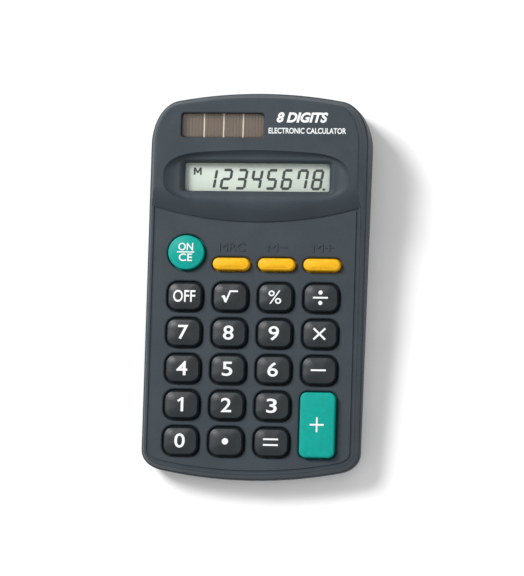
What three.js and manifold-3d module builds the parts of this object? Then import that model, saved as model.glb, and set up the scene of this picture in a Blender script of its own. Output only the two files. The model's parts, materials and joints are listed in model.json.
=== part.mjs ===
// Pocket calculator: a wedge case with a keypad, a sunk display, a solar window and one AA cell.
// Millimetres, +X right, +Y towards the display end, +Z up. It lies on four rubber feet at Z = 0.
import * as THREE from 'three';
import { mergeVertices } from 'three/addons/utils/BufferGeometryUtils.js';
import Module from 'manifold-3d';

const wasm = await Module();
wasm.setup();

// Case plan
const case_width = 66;
const case_length = 116.2;
const end_radius = 138; // both ends are gentle arcs
const top_corner = { across: 8, along: 13.5 };
const low_corner = { across: 7, along: 7 };

// Case walls
const side_wall = 1.8;
const face_wall = 1.6;
const floor_wall = 1.4;
const ledge_height = 2.1; // the face stands on a narrow ledge all round
const ledge_round = 0.7;
const face_edge = { low: 0.4, high: 2.05 }; // insets of the sloping wall under the face
const face_edge_wall = 1.2;
const rear_round = 2.6;
const low_end_depth = 3.6; // rear shell under the parting line at the keypad end
const foot_height = 0.6;
const foot_seat = 0.6; // depth of the recess that a foot is glued into
const joint_gap = 0.3; // gap between pieces that touch
const slide_gap = 0.25;
const beyond = 30; // more than the case is deep, for cuts that go right through

// Display section
const display_rise = 2.4;
const display_slope = 6; // plan width of the slope down to the keypad
const step_from_top = 39.07; // top end to the lowest point of the curved step
const step_radius = 111;
const dish_depth = 1.5;
const dish_slope = 3.8;
const window_size = { across: 46, along: 9.5, corner: 1.2 };
const window_rim = 0.5; // flat rim of the dish round the window
const window_from_top = 25.57;
const lens_size = { across: 49, along: 11.4, thick: 0.8 };
const lcd_size = { across: 50, along: 11.6, thick: 2 };
const lcd_shift = 0.5; // the panel sits a little low behind its window
const solar_opening = { across: 25.2, along: 7.4, corner: 1 };
const solar_from_top = 10.37;
const solar_from_middle = -10.5;
const solar_glass_thick = 0.8;
const solar_glass_lift = 0.2;
const solar_cell_size = { across: 26, along: 8, thick: 0.9 };
const deck_wall = 1.7;

// Keypad
const well = { across: 11.3, along: 9.3, corner: 3.2 };
const land = { across: 2.4, along: 1.5 }; // shell left between wells
const key_side_gap = 0.4;
const key_rise = 2;
const black_key_edge = { edge: 0.7, drop: 1.5 }; // a black key narrows towards its top
const wide_key_edge = 0.5;
const key_flange = 0.45; // how far a key's retaining lip reaches under the shell
const flange_thick = 0.8;
const key_travel = 1;
const press_clearance = 0.2;
const low_row_from_end = 11.16;
const memory_row_rise = 9.9; // memory keys above the top row of black keys
const memory_well = { across: well.across + 0.6, along: 5.4 };
const power_key_rise = 13.2;
const power_well_radius = well.across / 2 + 0.15;

// Board, rubber mat and small electronics
const board_top = -0.8;
const board_thick = 1.2;
const mat_thick = 0.8;
const bump_rise = 0.8;
const bump_radius = { usual: 3, memory: 1.8 };
const board_room = { side: 2.8, end: 4, bay: 0.6 }; // board edge to the case and to the cell bay
const zebra_size = { across: 44, along: 1.8 };
const chip_radius = 5;
const chip_rise = 1.4;
const capacitor = { radius: 2.25, length: 9 };
const wire_radius = 0.4;

// Cell and contacts
const cell_diameter = 14.2;
const cell_length = 50.2;
const cell_nub = { radius: 2.7, length: 1 };
const cell_room = 0.35;
const spring = { length: 2.8, wide: 3.6, narrow: 1.8, turns: 2.5, wire: 0.3 };
const contact_thick = 0.5;
const contact_size = 9;
const tab_rise = 1.4; // contact tabs stand this far above the board's top
const rib_thick = 1.2;

// Door, screws and feet
const door_half_width = 27;
const door_thick = 1.6;
const rail_reach = 1.2;
const rail_thick = 0.6;
const screw = { shank: 0.9, head: 1.6, head_thick: 1.1, reach: 2.2 };
const boss_wall = 0.8;
const board_screw = { shank: 0.7, head: 1.4, head_thick: 1 };
const foot_radius = 3;
const foot_from_side = 9;
const screw_below_step = 1.5;
const door_seat = 0.6;

// Heights above the parting line, worked out from the board upwards
const mat_low = board_top + joint_gap;
const mat_top = mat_low + mat_thick;
const bump_top = mat_top + bump_rise;
const flange_low = bump_top + press_clearance + key_travel;
const flange_top = flange_low + flange_thick;
const face_under = flange_top + joint_gap;
const face_top = face_under + face_wall;
const deck_top = face_top + display_rise;
const deck_under = deck_top - deck_wall;
const board_low = board_top - board_thick;
const lens_top = deck_top - dish_depth - face_wall - joint_gap;
const lens_low = lens_top - lens_size.thick;
const lcd_top = lens_low - joint_gap;
const lcd_low = lcd_top - lcd_size.thick;
const solar_top = deck_under - joint_gap;
const solar_low = solar_top - solar_cell_size.thick;

// Places along the case, from either end
const top_end = case_length / 2;
const low_end = -case_length / 2;
const column_pitch = well.across + land.across;
const row_pitch = well.along + land.along;
const row_at = (row) => low_end + low_row_from_end + row * row_pitch;
const column_at = (column) => (column - 1.5) * column_pitch;
const memory_row = row_at(4) + memory_row_rise;
const power_row = row_at(4) + power_key_rise;
const window_at = top_end - window_from_top;
const solar_at = top_end - solar_from_top;
const step_at = top_end - step_from_top;

// The cell lies across the case, as near the top end as the curved end wall lets it
const end_sag = (x) => end_radius - Math.sqrt(end_radius ** 2 - x ** 2);
const cell_at = top_end - side_wall - end_sag(cell_length / 2) - cell_diameter / 2 - cell_room;
const cell_height = deck_under - solar_cell_size.thick - 2 * joint_gap - cell_diameter / 2;
const depth_at_cell = -(cell_height - cell_diameter / 2 - cell_room - door_thick);
const tilt = Math.atan((depth_at_cell - low_end_depth) / (cell_at - low_end));
const depth_at = (y) => low_end_depth + (y - low_end) * Math.tan(tilt);

// The case stands in a group that is turned by the wedge angle, with its underside level
const case_lift = foot_height + low_end_depth * Math.cos(tilt) - low_end * Math.sin(tilt);
const calculator = new THREE.Group();
calculator.rotation.x = tilt;
calculator.position.z = case_lift;

const colours = {
  shell: new THREE.MeshStandardMaterial({ color: 0x474f57, roughness: 0.7, metalness: 0 }),
  black_key: new THREE.MeshStandardMaterial({ color: 0x17191b, roughness: 0.4, metalness: 0 }),
  teal_key: new THREE.MeshStandardMaterial({ color: 0x0a9a86, roughness: 0.4, metalness: 0 }),
  yellow_key: new THREE.MeshStandardMaterial({ color: 0xf0b51e, roughness: 0.4, metalness: 0 }),
  rubber: new THREE.MeshStandardMaterial({ color: 0x1c1c1e, roughness: 0.9, metalness: 0 }),
  clear: new THREE.MeshStandardMaterial({ color: 0xe6ece8, roughness: 0.1, metalness: 0 }),
  lcd: new THREE.MeshStandardMaterial({ color: 0xc3d0c6, roughness: 0.3, metalness: 0 }),
  solar: new THREE.MeshStandardMaterial({ color: 0x6e5647, roughness: 0.3, metalness: 0 }),
  board: new THREE.MeshStandardMaterial({ color: 0x8a6a32, roughness: 0.6, metalness: 0 }),
  epoxy: new THREE.MeshStandardMaterial({ color: 0x101010, roughness: 0.5, metalness: 0 }),
  steel: new THREE.MeshStandardMaterial({ color: 0xb9bcc0, roughness: 0.35, metalness: 1 }),
  cell: new THREE.MeshStandardMaterial({ color: 0x2f5f9e, roughness: 0.4, metalness: 0.3 }),
  red_wire: new THREE.MeshStandardMaterial({ color: 0xb02018, roughness: 0.5, metalness: 0 }),
  black_wire: new THREE.MeshStandardMaterial({ color: 0x151515, roughness: 0.5, metalness: 0 }),
};

function addPiece(name, geometry, material) {
  const mesh = new THREE.Mesh(geometry, colours[material].clone());
  mesh.name = name;
  calculator.add(mesh);
  return mesh;
}

// Solids: a three.js geometry becomes a manifold solid for a cut or a join, and comes back
function solid(geometry) {
  const bare = geometry.clone();
  bare.deleteAttribute('normal');
  bare.deleteAttribute('uv');
  const merged = mergeVertices(bare, 1e-4);
  return new wasm.Manifold(new wasm.Mesh({
    numProp: 3,
    vertProperties: new Float32Array(merged.attributes.position.array),
    triVerts: new Uint32Array(merged.index.array),
  }));
}

function geometryOf(body) {
  const mesh = body.getMesh();
  const geometry = new THREE.BufferGeometry();
  geometry.setAttribute('position', new THREE.BufferAttribute(mesh.vertProperties, 3));
  geometry.setIndex(new THREE.BufferAttribute(mesh.triVerts, 1));
  geometry.computeVertexNormals();
  return geometry;
}

const joined = (first, ...others) => others.reduce((sum, next) => sum.add(next), first);
const cut = (first, ...others) => others.reduce((rest, next) => rest.subtract(next), first);

// Outline of the case in plan, set in by a given distance
function caseOutline(inset) {
  const half_width = case_width / 2 - inset;
  const half_length = case_length / 2 - inset;
  const radius = end_radius - inset;
  const pull = 0.55;
  const corner = (size) => {
    const across = size.across - inset;
    const along = size.along - inset;
    const x = half_width - across;
    const angle = Math.asin(x / radius);
    const y = half_length - radius + radius * Math.cos(angle);
    return { x, y, angle, side: y - along, across, along };
  };
  const top = corner(top_corner);
  const low = corner(low_corner);
  const shape = new THREE.Shape();
  const bend = (end, right, up) => {
    // From the straight side round to the end arc, or back again
    const side = new THREE.Vector2(right * half_width, up * end.side);
    const side_pull = new THREE.Vector2(right * half_width, up * (end.side + pull * end.along));
    const arc = new THREE.Vector2(right * end.x, up * end.y);
    const reach = pull * end.across;
    const arc_pull = new THREE.Vector2(
      right * (end.x + reach * Math.cos(end.angle)),
      up * (end.y - reach * Math.sin(end.angle)),
    );
    return { side, side_pull, arc, arc_pull };
  };
  const goRound = (a, b, c) => shape.bezierCurveTo(a.x, a.y, b.x, b.y, c.x, c.y);
  const up_right = bend(top, 1, 1);
  const up_left = bend(top, -1, 1);
  const low_left = bend(low, -1, -1);
  const low_right = bend(low, 1, -1);
  const quarter = Math.PI / 2;
  shape.moveTo(low_right.side.x, low_right.side.y);
  shape.lineTo(up_right.side.x, up_right.side.y);
  goRound(up_right.side_pull, up_right.arc_pull, up_right.arc);
  shape.absarc(0, half_length - radius, radius, quarter - top.angle, quarter + top.angle, false);
  goRound(up_left.arc_pull, up_left.side_pull, up_left.side);
  shape.lineTo(low_left.side.x, low_left.side.y);
  goRound(low_left.side_pull, low_left.arc_pull, low_left.arc);
  shape.absarc(0, radius - half_length, radius, 3 * quarter - low.angle, 3 * quarter + low.angle, false);
  goRound(low_right.arc_pull, low_right.side_pull, low_right.side);
  return shape;
}

function roundedRectangle(across, along, corner, x = 0, y = 0) {
  const right = x + across / 2 - corner;
  const left = x - across / 2 + corner;
  const high = y + along / 2 - corner;
  const low = y - along / 2 + corner;
  const quarter = Math.PI / 2;
  const shape = new THREE.Shape();
  shape.absarc(right, low, corner, -quarter, 0, false);
  shape.absarc(right, high, corner, 0, quarter, false);
  shape.absarc(left, high, corner, quarter, 2 * quarter, false);
  shape.absarc(left, low, corner, 2 * quarter, 3 * quarter, false);
  shape.closePath();
  return shape;
}

function slab(shape, low, high, steps = 3) {
  const settings = { depth: high - low, bevelEnabled: false, curveSegments: steps };
  const geometry = new THREE.ExtrudeGeometry(shape, settings);
  return geometry.translate(0, 0, low);
}

// A slab whose top and bottom edges are rounded: the outline grows by size over the given drop
function softSlab(shape, low, high, size, drop, rounds = 2, steps = 3) {
  const settings = {
    depth: high - low - 2 * drop,
    bevelEnabled: true,
    bevelSize: size,
    bevelThickness: drop,
    bevelSegments: rounds,
    curveSegments: steps,
  };
  return new THREE.ExtrudeGeometry(shape, settings).translate(0, 0, low + drop);
}

function box(x0, x1, y0, y1, z0, z1) {
  const geometry = new THREE.BoxGeometry(x1 - x0, y1 - y0, z1 - z0);
  return geometry.translate((x0 + x1) / 2, (y0 + y1) / 2, (z0 + z1) / 2);
}

// A block over the whole plan, between two heights
function overAll(low, high) {
  return box(-case_width, case_width, 2 * low_end, 2 * top_end, low, high);
}

function plate(size, x, y, low, high) {
  return box(x - size.across / 2, x + size.across / 2, y - size.along / 2, y + size.along / 2, low, high);
}

// The space that a flat piece needs, with a gap all round it
function room(size, x, y, low, high) {
  const across = size.across + 2 * joint_gap;
  const along = size.along + 2 * joint_gap;
  return solid(plate({ across, along }, x, y, low, high + joint_gap));
}

// An upright cylinder in the case group
function post(x, y, radius, low, high, sides = 16) {
  const geometry = new THREE.CylinderGeometry(radius, radius, high - low, sides);
  return geometry.rotateX(Math.PI / 2).translate(x, y, (low + high) / 2);
}

// Shapes given level with the table are turned into the case group
const level_to_case = new THREE.Matrix4()
  .makeRotationX(-tilt)
  .multiply(new THREE.Matrix4().makeTranslation(0, 0, -case_lift));
const fromLevel = (geometry) => geometry.applyMatrix4(level_to_case);
const levelY = (y, w) => y * Math.cos(tilt) - w * Math.sin(tilt);

// Places of screws, posts and feet
const low_screw_at = row_at(0) - well.along / 2 - key_flange - boss_wall - screw.shank - 2 * joint_gap;
const screw_places = [-1, 1].flatMap((side) => [
  [side * column_pitch, low_screw_at],
  [side * (window_size.across / 2 + screw.head + boss_wall), step_at - screw_below_step],
]);
const board_screw_places = [
  [-column_pitch, (row_at(3) + row_at(4)) / 2],
  [column_pitch, (row_at(3) + row_at(4)) / 2],
  [0, (row_at(1) + row_at(2)) / 2],
  [0, memory_row + memory_well.along + board_screw.head + boss_wall],
];
const foot_places = [-1, 1].flatMap((side) => [
  [side * (case_width / 2 - foot_from_side), low_end + foot_from_side],
  [side * (case_width / 2 - foot_from_side), window_at - window_size.along / 2],
]);

// The keys: name, column, row, and what kind of cap it is
const key_rows = [
  ['0', 'point', 'equals', null],
  ['1', '2', '3', null],
  ['4', '5', '6', 'minus'],
  ['7', '8', '9', 'multiply'],
  ['off', 'square_root', 'percent', 'divide'],
];
const keys = [];
key_rows.forEach((names, row) => names.forEach((name, column) => {
  if (name) {
    keys.push({ name: `key_${name}`, kind: 'black', x: column_at(column), y: row_at(row) });
  }
}));
keys.push({ name: 'key_plus', kind: 'tall', x: column_at(3), y: (row_at(0) + row_at(1)) / 2 });
keys.push({ name: 'key_on_clear', kind: 'round', x: column_at(0), y: power_row });
['memory_recall', 'memory_minus', 'memory_plus'].forEach((name, index) => {
  keys.push({ name: `key_${name}`, kind: 'memory', x: column_at(index + 1), y: memory_row });
});

// The outline of a key's well, or of the key itself, grown by the given distance
function keyOutline(key, grow) {
  if (key.kind === 'round') {
    const shape = new THREE.Shape();
    shape.absarc(key.x, key.y, power_well_radius + grow, 0, 2 * Math.PI, false);
    return shape;
  }
  if (key.kind === 'memory') {
    const across = memory_well.across + 2 * grow;
    const along = memory_well.along + 2 * grow;
    return roundedRectangle(across, along, along / 2 - 0.01, key.x, key.y);
  }
  const along = well.along + (key.kind === 'tall' ? row_pitch : 0) + 2 * grow;
  return roundedRectangle(well.across + 2 * grow, along, well.corner + grow, key.x, key.y);
}

const key_steps = { black: 2, tall: 2, round: 6, memory: 3 };
const key_colours = { black: 'black_key', tall: 'teal_key', round: 'teal_key', memory: 'yellow_key' };

function makeKey(key) {
  const edge = key.kind === 'black' ? black_key_edge : { edge: wide_key_edge, drop: wide_key_edge };
  const steps = key_steps[key.kind];
  const top = face_top + key_rise;
  const cap_shape = keyOutline(key, -key_side_gap - edge.edge);
  const cap = softSlab(cap_shape, flange_low - edge.drop, top, edge.edge, edge.drop, 2, steps);
  const lip = slab(keyOutline(key, key_flange), flange_low, flange_top, Math.max(1, steps - 1));
  const under = overAll(flange_low - beyond, flange_low);
  addPiece(key.name, geometryOf(joined(cut(solid(cap), solid(under)), solid(lip))), key_colours[key.kind]);
}
keys.forEach(makeKey);

// Front shell: ledge, raised face, curved step, dish, windows and key wells
// Plan region on the keypad side of the curved step, moved up the case by the given distance
function keypadRegion(move) {
  const side = case_width;
  const centre = step_at + move + step_radius;
  const half_angle = Math.asin((case_width / 2 + display_slope) / step_radius);
  const down = -Math.PI / 2;
  const shape = new THREE.Shape();
  shape.moveTo(-side, 2 * low_end);
  shape.lineTo(side, 2 * low_end);
  const arc_x = step_radius * Math.sin(half_angle);
  const arc_y = centre - step_radius * Math.cos(half_angle);
  shape.lineTo(side, arc_y);
  shape.lineTo(arc_x, arc_y);
  shape.absarc(0, centre, step_radius, down + half_angle, down - half_angle, true);
  shape.lineTo(-side, arc_y);
  shape.closePath();
  return shape;
}

function makeFrontShell() {
  const ledge = softSlab(caseOutline(ledge_round), -2, ledge_height, ledge_round, ledge_round, 2, 4);
  const draft = { size: face_edge.high - face_edge.low, drop: deck_top - ledge_height };
  const deck = softSlab(
    caseOutline(face_edge.high), -2 * draft.drop, deck_top, draft.size, draft.drop, 1, 4,
  );
  let shell = cut(joined(solid(ledge), solid(deck)), solid(overAll(-beyond, 0)));

  // The keypad face lies lower, and a slope leads up to the display section
  const lower = slab(keypadRegion(0), face_top, deck_top + 2, 8);
  const slope_settings = { depth: 2, bevelEnabled: true, bevelSegments: 1, curveSegments: 8 };
  slope_settings.bevelThickness = display_rise;
  slope_settings.bevelSize = display_slope;
  const slope = new THREE.ExtrudeGeometry(keypadRegion(0), slope_settings);
  shell = cut(shell, solid(lower), solid(slope.translate(0, 0, deck_top)));

  // The dish round the display, and its window
  const { across, along, corner } = window_size;
  const rim = roundedRectangle(across + 2 * window_rim, along + 2 * window_rim, corner, 0, window_at);
  const dish_low = deck_top - dish_depth;
  const dish = softSlab(rim, dish_low, dish_low + 3 * dish_depth, dish_slope, dish_depth, 1, 4);
  const window_hole = slab(roundedRectangle(across, along, corner, 0, window_at), -beyond, beyond);
  const solar_shape = roundedRectangle(
    solar_opening.across, solar_opening.along, solar_opening.corner, solar_from_middle, solar_at,
  );
  shell = cut(shell, solid(dish), solid(window_hole), solid(slab(solar_shape, -beyond, beyond)));

  // The hollow inside
  const low_hollow = slab(caseOutline(side_wall), -2, ledge_height - ledge_round, 4);
  const face_hollow = slab(caseOutline(face_edge.high + face_edge_wall), -2, face_under, 4);
  const dish_block = box(
    -across / 2 - dish_slope, across / 2 + dish_slope,
    step_at, window_at + along / 2 + dish_slope, dish_low - face_wall, deck_top,
  );
  const low_side = joined(solid(low_hollow), solid(face_hollow));
  const deck_hollow = slab(caseOutline(face_edge.high + face_edge_wall), 0, deck_under, 4);
  const keypad_side = slab(keypadRegion(display_slope + face_wall), face_under, deck_top, 8);
  const high_side = cut(solid(deck_hollow), solid(keypad_side), solid(dish_block));
  const lens_pocket = room(lens_size, 0, window_at, face_under - 1, lens_top);
  const solar_pocket = room(solar_cell_size, solar_from_middle, solar_at, face_under, solar_top);
  shell = cut(shell, joined(low_side, high_side, lens_pocket, solar_pocket));

  // Posts for the case screws and for the board
  for (const [x, y] of screw_places) {
    const outer = screw.shank + joint_gap + boss_wall;
    const column = solid(post(x, y, outer, 0, face_under + 0.5));
    const bore = solid(post(x, y, screw.shank + joint_gap, -1, screw.reach + joint_gap, 12));
    shell = cut(joined(shell, column), bore);
  }
  for (const [x, y] of board_screw_places) {
    const outer = board_screw.shank + joint_gap + boss_wall;
    const column = solid(post(x, y, outer, mat_low, face_under + 0.5, 12));
    const bore = solid(post(x, y, board_screw.shank + joint_gap, mat_low - 1, face_under - 0.8, 10));
    shell = cut(joined(shell, column), bore);
  }
  for (const key of keys) {
    shell = cut(shell, solid(slab(keyOutline(key, 0), face_under - 1, deck_top, key_steps[key.kind])));
  }
  return shell;
}
addPiece('front_shell', geometryOf(makeFrontShell()), 'shell');

// Rear shell: a tray with a level underside, set in by the given wall and raised by the floor
function rearBody(inset, rise, round) {
  const high = beyond;
  const low = -low_end_depth + rise;
  const settings = [low, high, round, round, 3, 4];
  const geometry = softSlab(caseOutline(inset + round), ...settings);
  const lean = new THREE.Matrix4();
  lean.elements[6] = -Math.tan(tilt); // the underside goes deeper towards the display end
  geometry.translate(0, -low_end, 0).applyMatrix4(lean).translate(0, low_end, 0);
  return solid(geometry);
}

const rear_outer = cut(rearBody(0, 0, rear_round), solid(overAll(-joint_gap, beyond)));
const bay_low = cell_at - cell_diameter / 2 - cell_room; // keypad side of the cell bay
const door_low = levelY(bay_low, -depth_at(bay_low)) + door_seat;
const door_reach = 2 * top_end;
const underside = foot_height;

function doorShape(grow) {
  const plate = fromLevel(box(
    -door_half_width - grow, door_half_width + grow,
    door_low - grow, door_reach, underside - beyond, underside + door_thick + grow,
  ));
  const rail_middle = underside + door_thick / 2;
  const rail_half = rail_thick / 2 + grow;
  const rail = fromLevel(box(
    -door_half_width - rail_reach - grow, door_half_width + rail_reach + grow,
    door_low + 2 * rail_reach - grow, door_reach, rail_middle - rail_half, rail_middle + rail_half,
  ));
  return joined(solid(plate), solid(rail));
}

function makeRearShell() {
  const hollow = rearBody(side_wall, floor_wall, 1);
  let shell = cut(rear_outer, hollow);
  const inside = rearBody(side_wall - 0.2, 0.2, 1);

  // The bay wall and the two ribs behind the contacts
  const bay_wall = box(-case_width, case_width, bay_low - rib_thick, bay_low, -beyond, board_low);
  const rib_low = cell_at - contact_size / 2;
  const plus_rib = cell_length / 2 + joint_gap + contact_thick + 2 * joint_gap;
  const minus_rib = -cell_length / 2 - spring.length - contact_thick - 2 * joint_gap;
  const ribs = [
    box(plus_rib, plus_rib + rib_thick, bay_low, rib_low + contact_size, -beyond, board_top),
    box(minus_rib - rib_thick, minus_rib, bay_low, rib_low + contact_size, -beyond, board_top),
  ];
  for (const wall of [bay_wall, ...ribs]) {
    shell = joined(shell, solid(wall).intersect(inside));
  }

  // Screw bosses, with deep holes for the heads
  const head_seat = -low_end_depth + screw.head_thick + joint_gap;
  for (const [x, y] of screw_places) {
    const outer = screw.head + joint_gap + boss_wall;
    const boss = solid(post(x, y, outer, -beyond, -joint_gap)).intersect(inside);
    const head_hole = solid(post(x, y, screw.head + joint_gap, -beyond, head_seat));
    const bore = solid(post(x, y, screw.shank + joint_gap, -beyond, beyond, 12));
    shell = cut(joined(shell, boss), head_hole, bore);
  }

  // The cell bay opens downwards, and the door slides in from the top end
  const bay_half = cell_length / 2 + door_seat;
  const bay_high = levelY(cell_at, cell_height) + cell_diameter / 2;
  const bay = fromLevel(box(
    -bay_half, bay_half, door_low + door_seat, bay_high, underside - beyond, underside + 2 * door_thick,
  ));
  shell = cut(shell, solid(bay), doorShape(slide_gap));
  for (const [x, y] of foot_places) {
    const level_y = levelY(y, -depth_at(y));
    const recess = post(x, level_y, foot_radius + joint_gap, underside - beyond, underside + foot_seat);
    shell = cut(shell, solid(fromLevel(recess)));
  }
  return shell;
}
addPiece('rear_shell', geometryOf(makeRearShell()), 'shell');
addPiece('battery_door', geometryOf(rear_outer.intersect(doorShape(0))), 'shell');

// Rubber feet, glued into shallow recesses; they stand level
foot_places.forEach(([x, y], index) => {
  const disc = post(x, levelY(y, -depth_at(y)), foot_radius, 0, underside + foot_seat - joint_gap, 20);
  addPiece(`foot_${index + 1}`, fromLevel(disc), 'rubber');
});

// Display: window, liquid crystal panel and the contact strip that joins it to the board
const lcd_at = window_at - lcd_shift;
addPiece('display_window', plate(lens_size, 0, window_at, lens_low, lens_top), 'clear');
addPiece('lcd_panel', plate(lcd_size, 0, lcd_at, lcd_low, lcd_top), 'lcd');
const zebra_at = lcd_at - lcd_size.along / 2 + zebra_size.along;
const zebra = plate(zebra_size, 0, zebra_at, board_top + joint_gap, lcd_low - joint_gap);
addPiece('contact_strip', zebra, 'rubber');

// Solar window in its opening, with the cell behind the deck
const glass_low = deck_under + solar_glass_lift;
const glass_shape = roundedRectangle(
  solar_opening.across - 2 * joint_gap, solar_opening.along - 2 * joint_gap,
  solar_opening.corner, solar_from_middle, solar_at,
);
addPiece('solar_window', slab(glass_shape, glass_low, glass_low + solar_glass_thick), 'clear');
addPiece('solar_cell', plate(solar_cell_size, solar_from_middle, solar_at, solar_low, solar_top), 'solar');

// Circuit board and the rubber mat with a bump under every key
const board_side = case_width / 2 - side_wall - board_room.side;
const board_low_end = low_end + side_wall + board_room.end;
const board_high_end = bay_low - rib_thick - board_room.bay;

function boardShape(low, high, half) {
  return roundedRectangle(2 * half, high - low, 4, 0, (low + high) / 2);
}

function makeBoard() {
  const sheet = slab(boardShape(board_low_end, board_high_end, board_side), board_low, board_top);
  const boss = screw.head + joint_gap + boss_wall;
  const holes = [
    ...screw_places.map(([x, y]) => post(x, y, boss + joint_gap, board_low - 1, board_top + 1)),
    ...board_screw_places.map(([x, y]) => (
      post(x, y, board_screw.shank + joint_gap, board_low - 1, board_top + 1, 10)
    )),
  ];
  return cut(solid(sheet), ...holes.map(solid));
}
addPiece('circuit_board', geometryOf(makeBoard()), 'board');

function makeMat() {
  const mat_low_end = row_at(0) - well.along / 2 - 0.2;
  const mat_high_end = power_row + power_well_radius;
  const half = column_at(3) + well.across / 2 + key_flange;
  let mat = solid(slab(boardShape(mat_low_end, mat_high_end, half), mat_low, mat_top));
  for (const key of keys) {
    const radius = key.kind === 'memory' ? bump_radius.memory : bump_radius.usual;
    mat = joined(mat, solid(post(key.x, key.y, radius, mat_low + 0.2, bump_top, 12)));
  }
  for (const [x, y] of board_screw_places) {
    const reach = board_screw.shank + 2 * joint_gap + boss_wall;
    mat = cut(mat, solid(post(x, y, reach, mat_low - 1, bump_top + 1, 12)));
  }
  const boss = screw.head + 2 * joint_gap + boss_wall;
  for (const [x, y] of screw_places) {
    mat = cut(mat, solid(post(x, y, boss, mat_low - 1, bump_top + 1)));
  }
  return mat;
}
addPiece('keypad_mat', geometryOf(makeMat()), 'rubber');

// Chip under a drop of resin, and a capacitor, on the back of the board
function makeChip() {
  const profile = [new THREE.Vector2(0, 0), new THREE.Vector2(chip_radius, 0)];
  for (let step = 1; step <= 4; step += 1) {
    const angle = (step / 4) * (Math.PI / 2);
    profile.push(new THREE.Vector2(chip_radius * Math.cos(angle), chip_rise * Math.sin(angle)));
  }
  profile[profile.length - 1].x = 0;
  const drop = new THREE.LatheGeometry(profile, 16);
  return drop.rotateX(-Math.PI / 2).translate(0, row_at(4), board_low - joint_gap);
}
addPiece('chip_resin', makeChip(), 'epoxy');

function makeCapacitor() {
  const can = new THREE.CylinderGeometry(capacitor.radius, capacitor.radius, capacitor.length, 14);
  const height = board_low - joint_gap - capacitor.radius;
  const place = bay_low - rib_thick - capacitor.radius - 1;
  return can.rotateZ(Math.PI / 2).translate(-column_pitch, place, height);
}
addPiece('capacitor', makeCapacitor(), 'epoxy');

// The cell: can, crimped ends and the raised positive button
function makeCell() {
  const radius = cell_diameter / 2;
  const can_end = cell_length - cell_nub.length;
  const profile = [
    [0, 0], [radius - 1.2, 0], [radius - 0.4, 0.4], [radius, 1],
    [radius, can_end - 0.8], [radius - 0.6, can_end], [cell_nub.radius, can_end],
    [cell_nub.radius, cell_length], [0, cell_length],
  ].map(([x, y]) => new THREE.Vector2(x, y));
  const cell = new THREE.LatheGeometry(profile, 28);
  return cell.rotateZ(-Math.PI / 2).translate(-cell_length / 2, cell_at, cell_height);
}
addPiece('aa_cell', makeCell(), 'cell');

// Contacts: a flat plate at the positive end, a conical spring on a plate at the negative end
const plus_face = cell_length / 2 + joint_gap;
const minus_face = -cell_length / 2 - joint_gap;
const tab_top = board_top + tab_rise;
const contact_y0 = cell_at - contact_size / 2;
const contact_y1 = cell_at + contact_size / 2;
const contact_z0 = cell_height - contact_size / 2;
const plus_plate = box(plus_face, plus_face + contact_thick, contact_y0, contact_y1, contact_z0, tab_top);
addPiece('positive_contact', plus_plate, 'steel');
const spring_plate_x = minus_face - spring.length;
const minus_plate = box(
  spring_plate_x - contact_thick, spring_plate_x, contact_y0, contact_y1, contact_z0, tab_top,
);
addPiece('negative_contact', minus_plate, 'steel');

class ConeCoil extends THREE.Curve {
  getPoint(t) {
    const angle = 2 * Math.PI * spring.turns * t;
    const radius = spring.wide + (spring.narrow - spring.wide) * t;
    const x = spring_plate_x + 2 * spring.wire + (spring.length - 3 * spring.wire) * t;
    const y = cell_at + radius * Math.cos(angle);
    return new THREE.Vector3(x, y, cell_height + radius * Math.sin(angle));
  }
}

function wireAlong(curve, radius, steps) {
  const section = new THREE.Shape();
  section.absarc(0, 0, radius, 0, 2 * Math.PI, false);
  const settings = { steps, bevelEnabled: false, extrudePath: curve, curveSegments: 4 };
  return new THREE.ExtrudeGeometry(section, settings);
}
addPiece('negative_spring', wireAlong(new ConeCoil(), spring.wire, 40), 'steel');

// Wires from the contacts and the solar cell to the top edge of the board
function wirePath(points) {
  return new THREE.CatmullRomCurve3(points.map(([x, y, z]) => new THREE.Vector3(x, y, z)));
}
const wire_level = board_top + joint_gap + wire_radius + 0.05;
const board_edge = board_high_end - 1;
const plus_x = plus_face + contact_thick + joint_gap + wire_radius;
const minus_x = spring_plate_x - contact_thick - joint_gap - wire_radius;
const wires = {
  battery_wire_plus: {
    colour: 'red_wire',
    points: [
      [plus_x, contact_y0 + 1.5, tab_top - 0.5], [plus_x + 0.6, contact_y0 - 1, tab_top - 0.2],
      [plus_x, board_high_end + 1, wire_level], [plus_x - 1.2, board_edge, wire_level],
    ],
  },
  battery_wire_minus: {
    colour: 'black_wire',
    points: [
      [minus_x, contact_y0 + 1.5, tab_top - 0.5], [minus_x + 0.2, contact_y0 - 1, tab_top - 0.2],
      [minus_x + 0.2, board_high_end + 1, wire_level], [minus_x + 1, board_edge, wire_level],
    ],
  },
};
const solar_end = solar_from_middle - solar_cell_size.across / 2;
const solar_middle = (solar_low + solar_top) / 2;
[0, 1].forEach((index) => {
  const shift = 1.3 * index;
  wires[`solar_wire_${index + 1}`] = {
    colour: index ? 'red_wire' : 'black_wire',
    points: [
      [solar_end - joint_gap, solar_at - 1 + 2 * shift, solar_middle],
      [solar_end - 1.6 - shift, solar_at - 2 + shift, solar_middle - 0.6],
      [solar_end - 2.4 - shift, cell_at - 3, 2.6],
      [solar_end - 2.4 - shift, board_high_end + 1.5, 0.8],
      [solar_end - 1.7 - shift, board_edge - 0.4, wire_level],
    ],
  };
});
for (const [name, wire] of Object.entries(wires)) {
  addPiece(name, wireAlong(wirePath(wire.points), wire_radius, 20), wire.colour);
}

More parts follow.
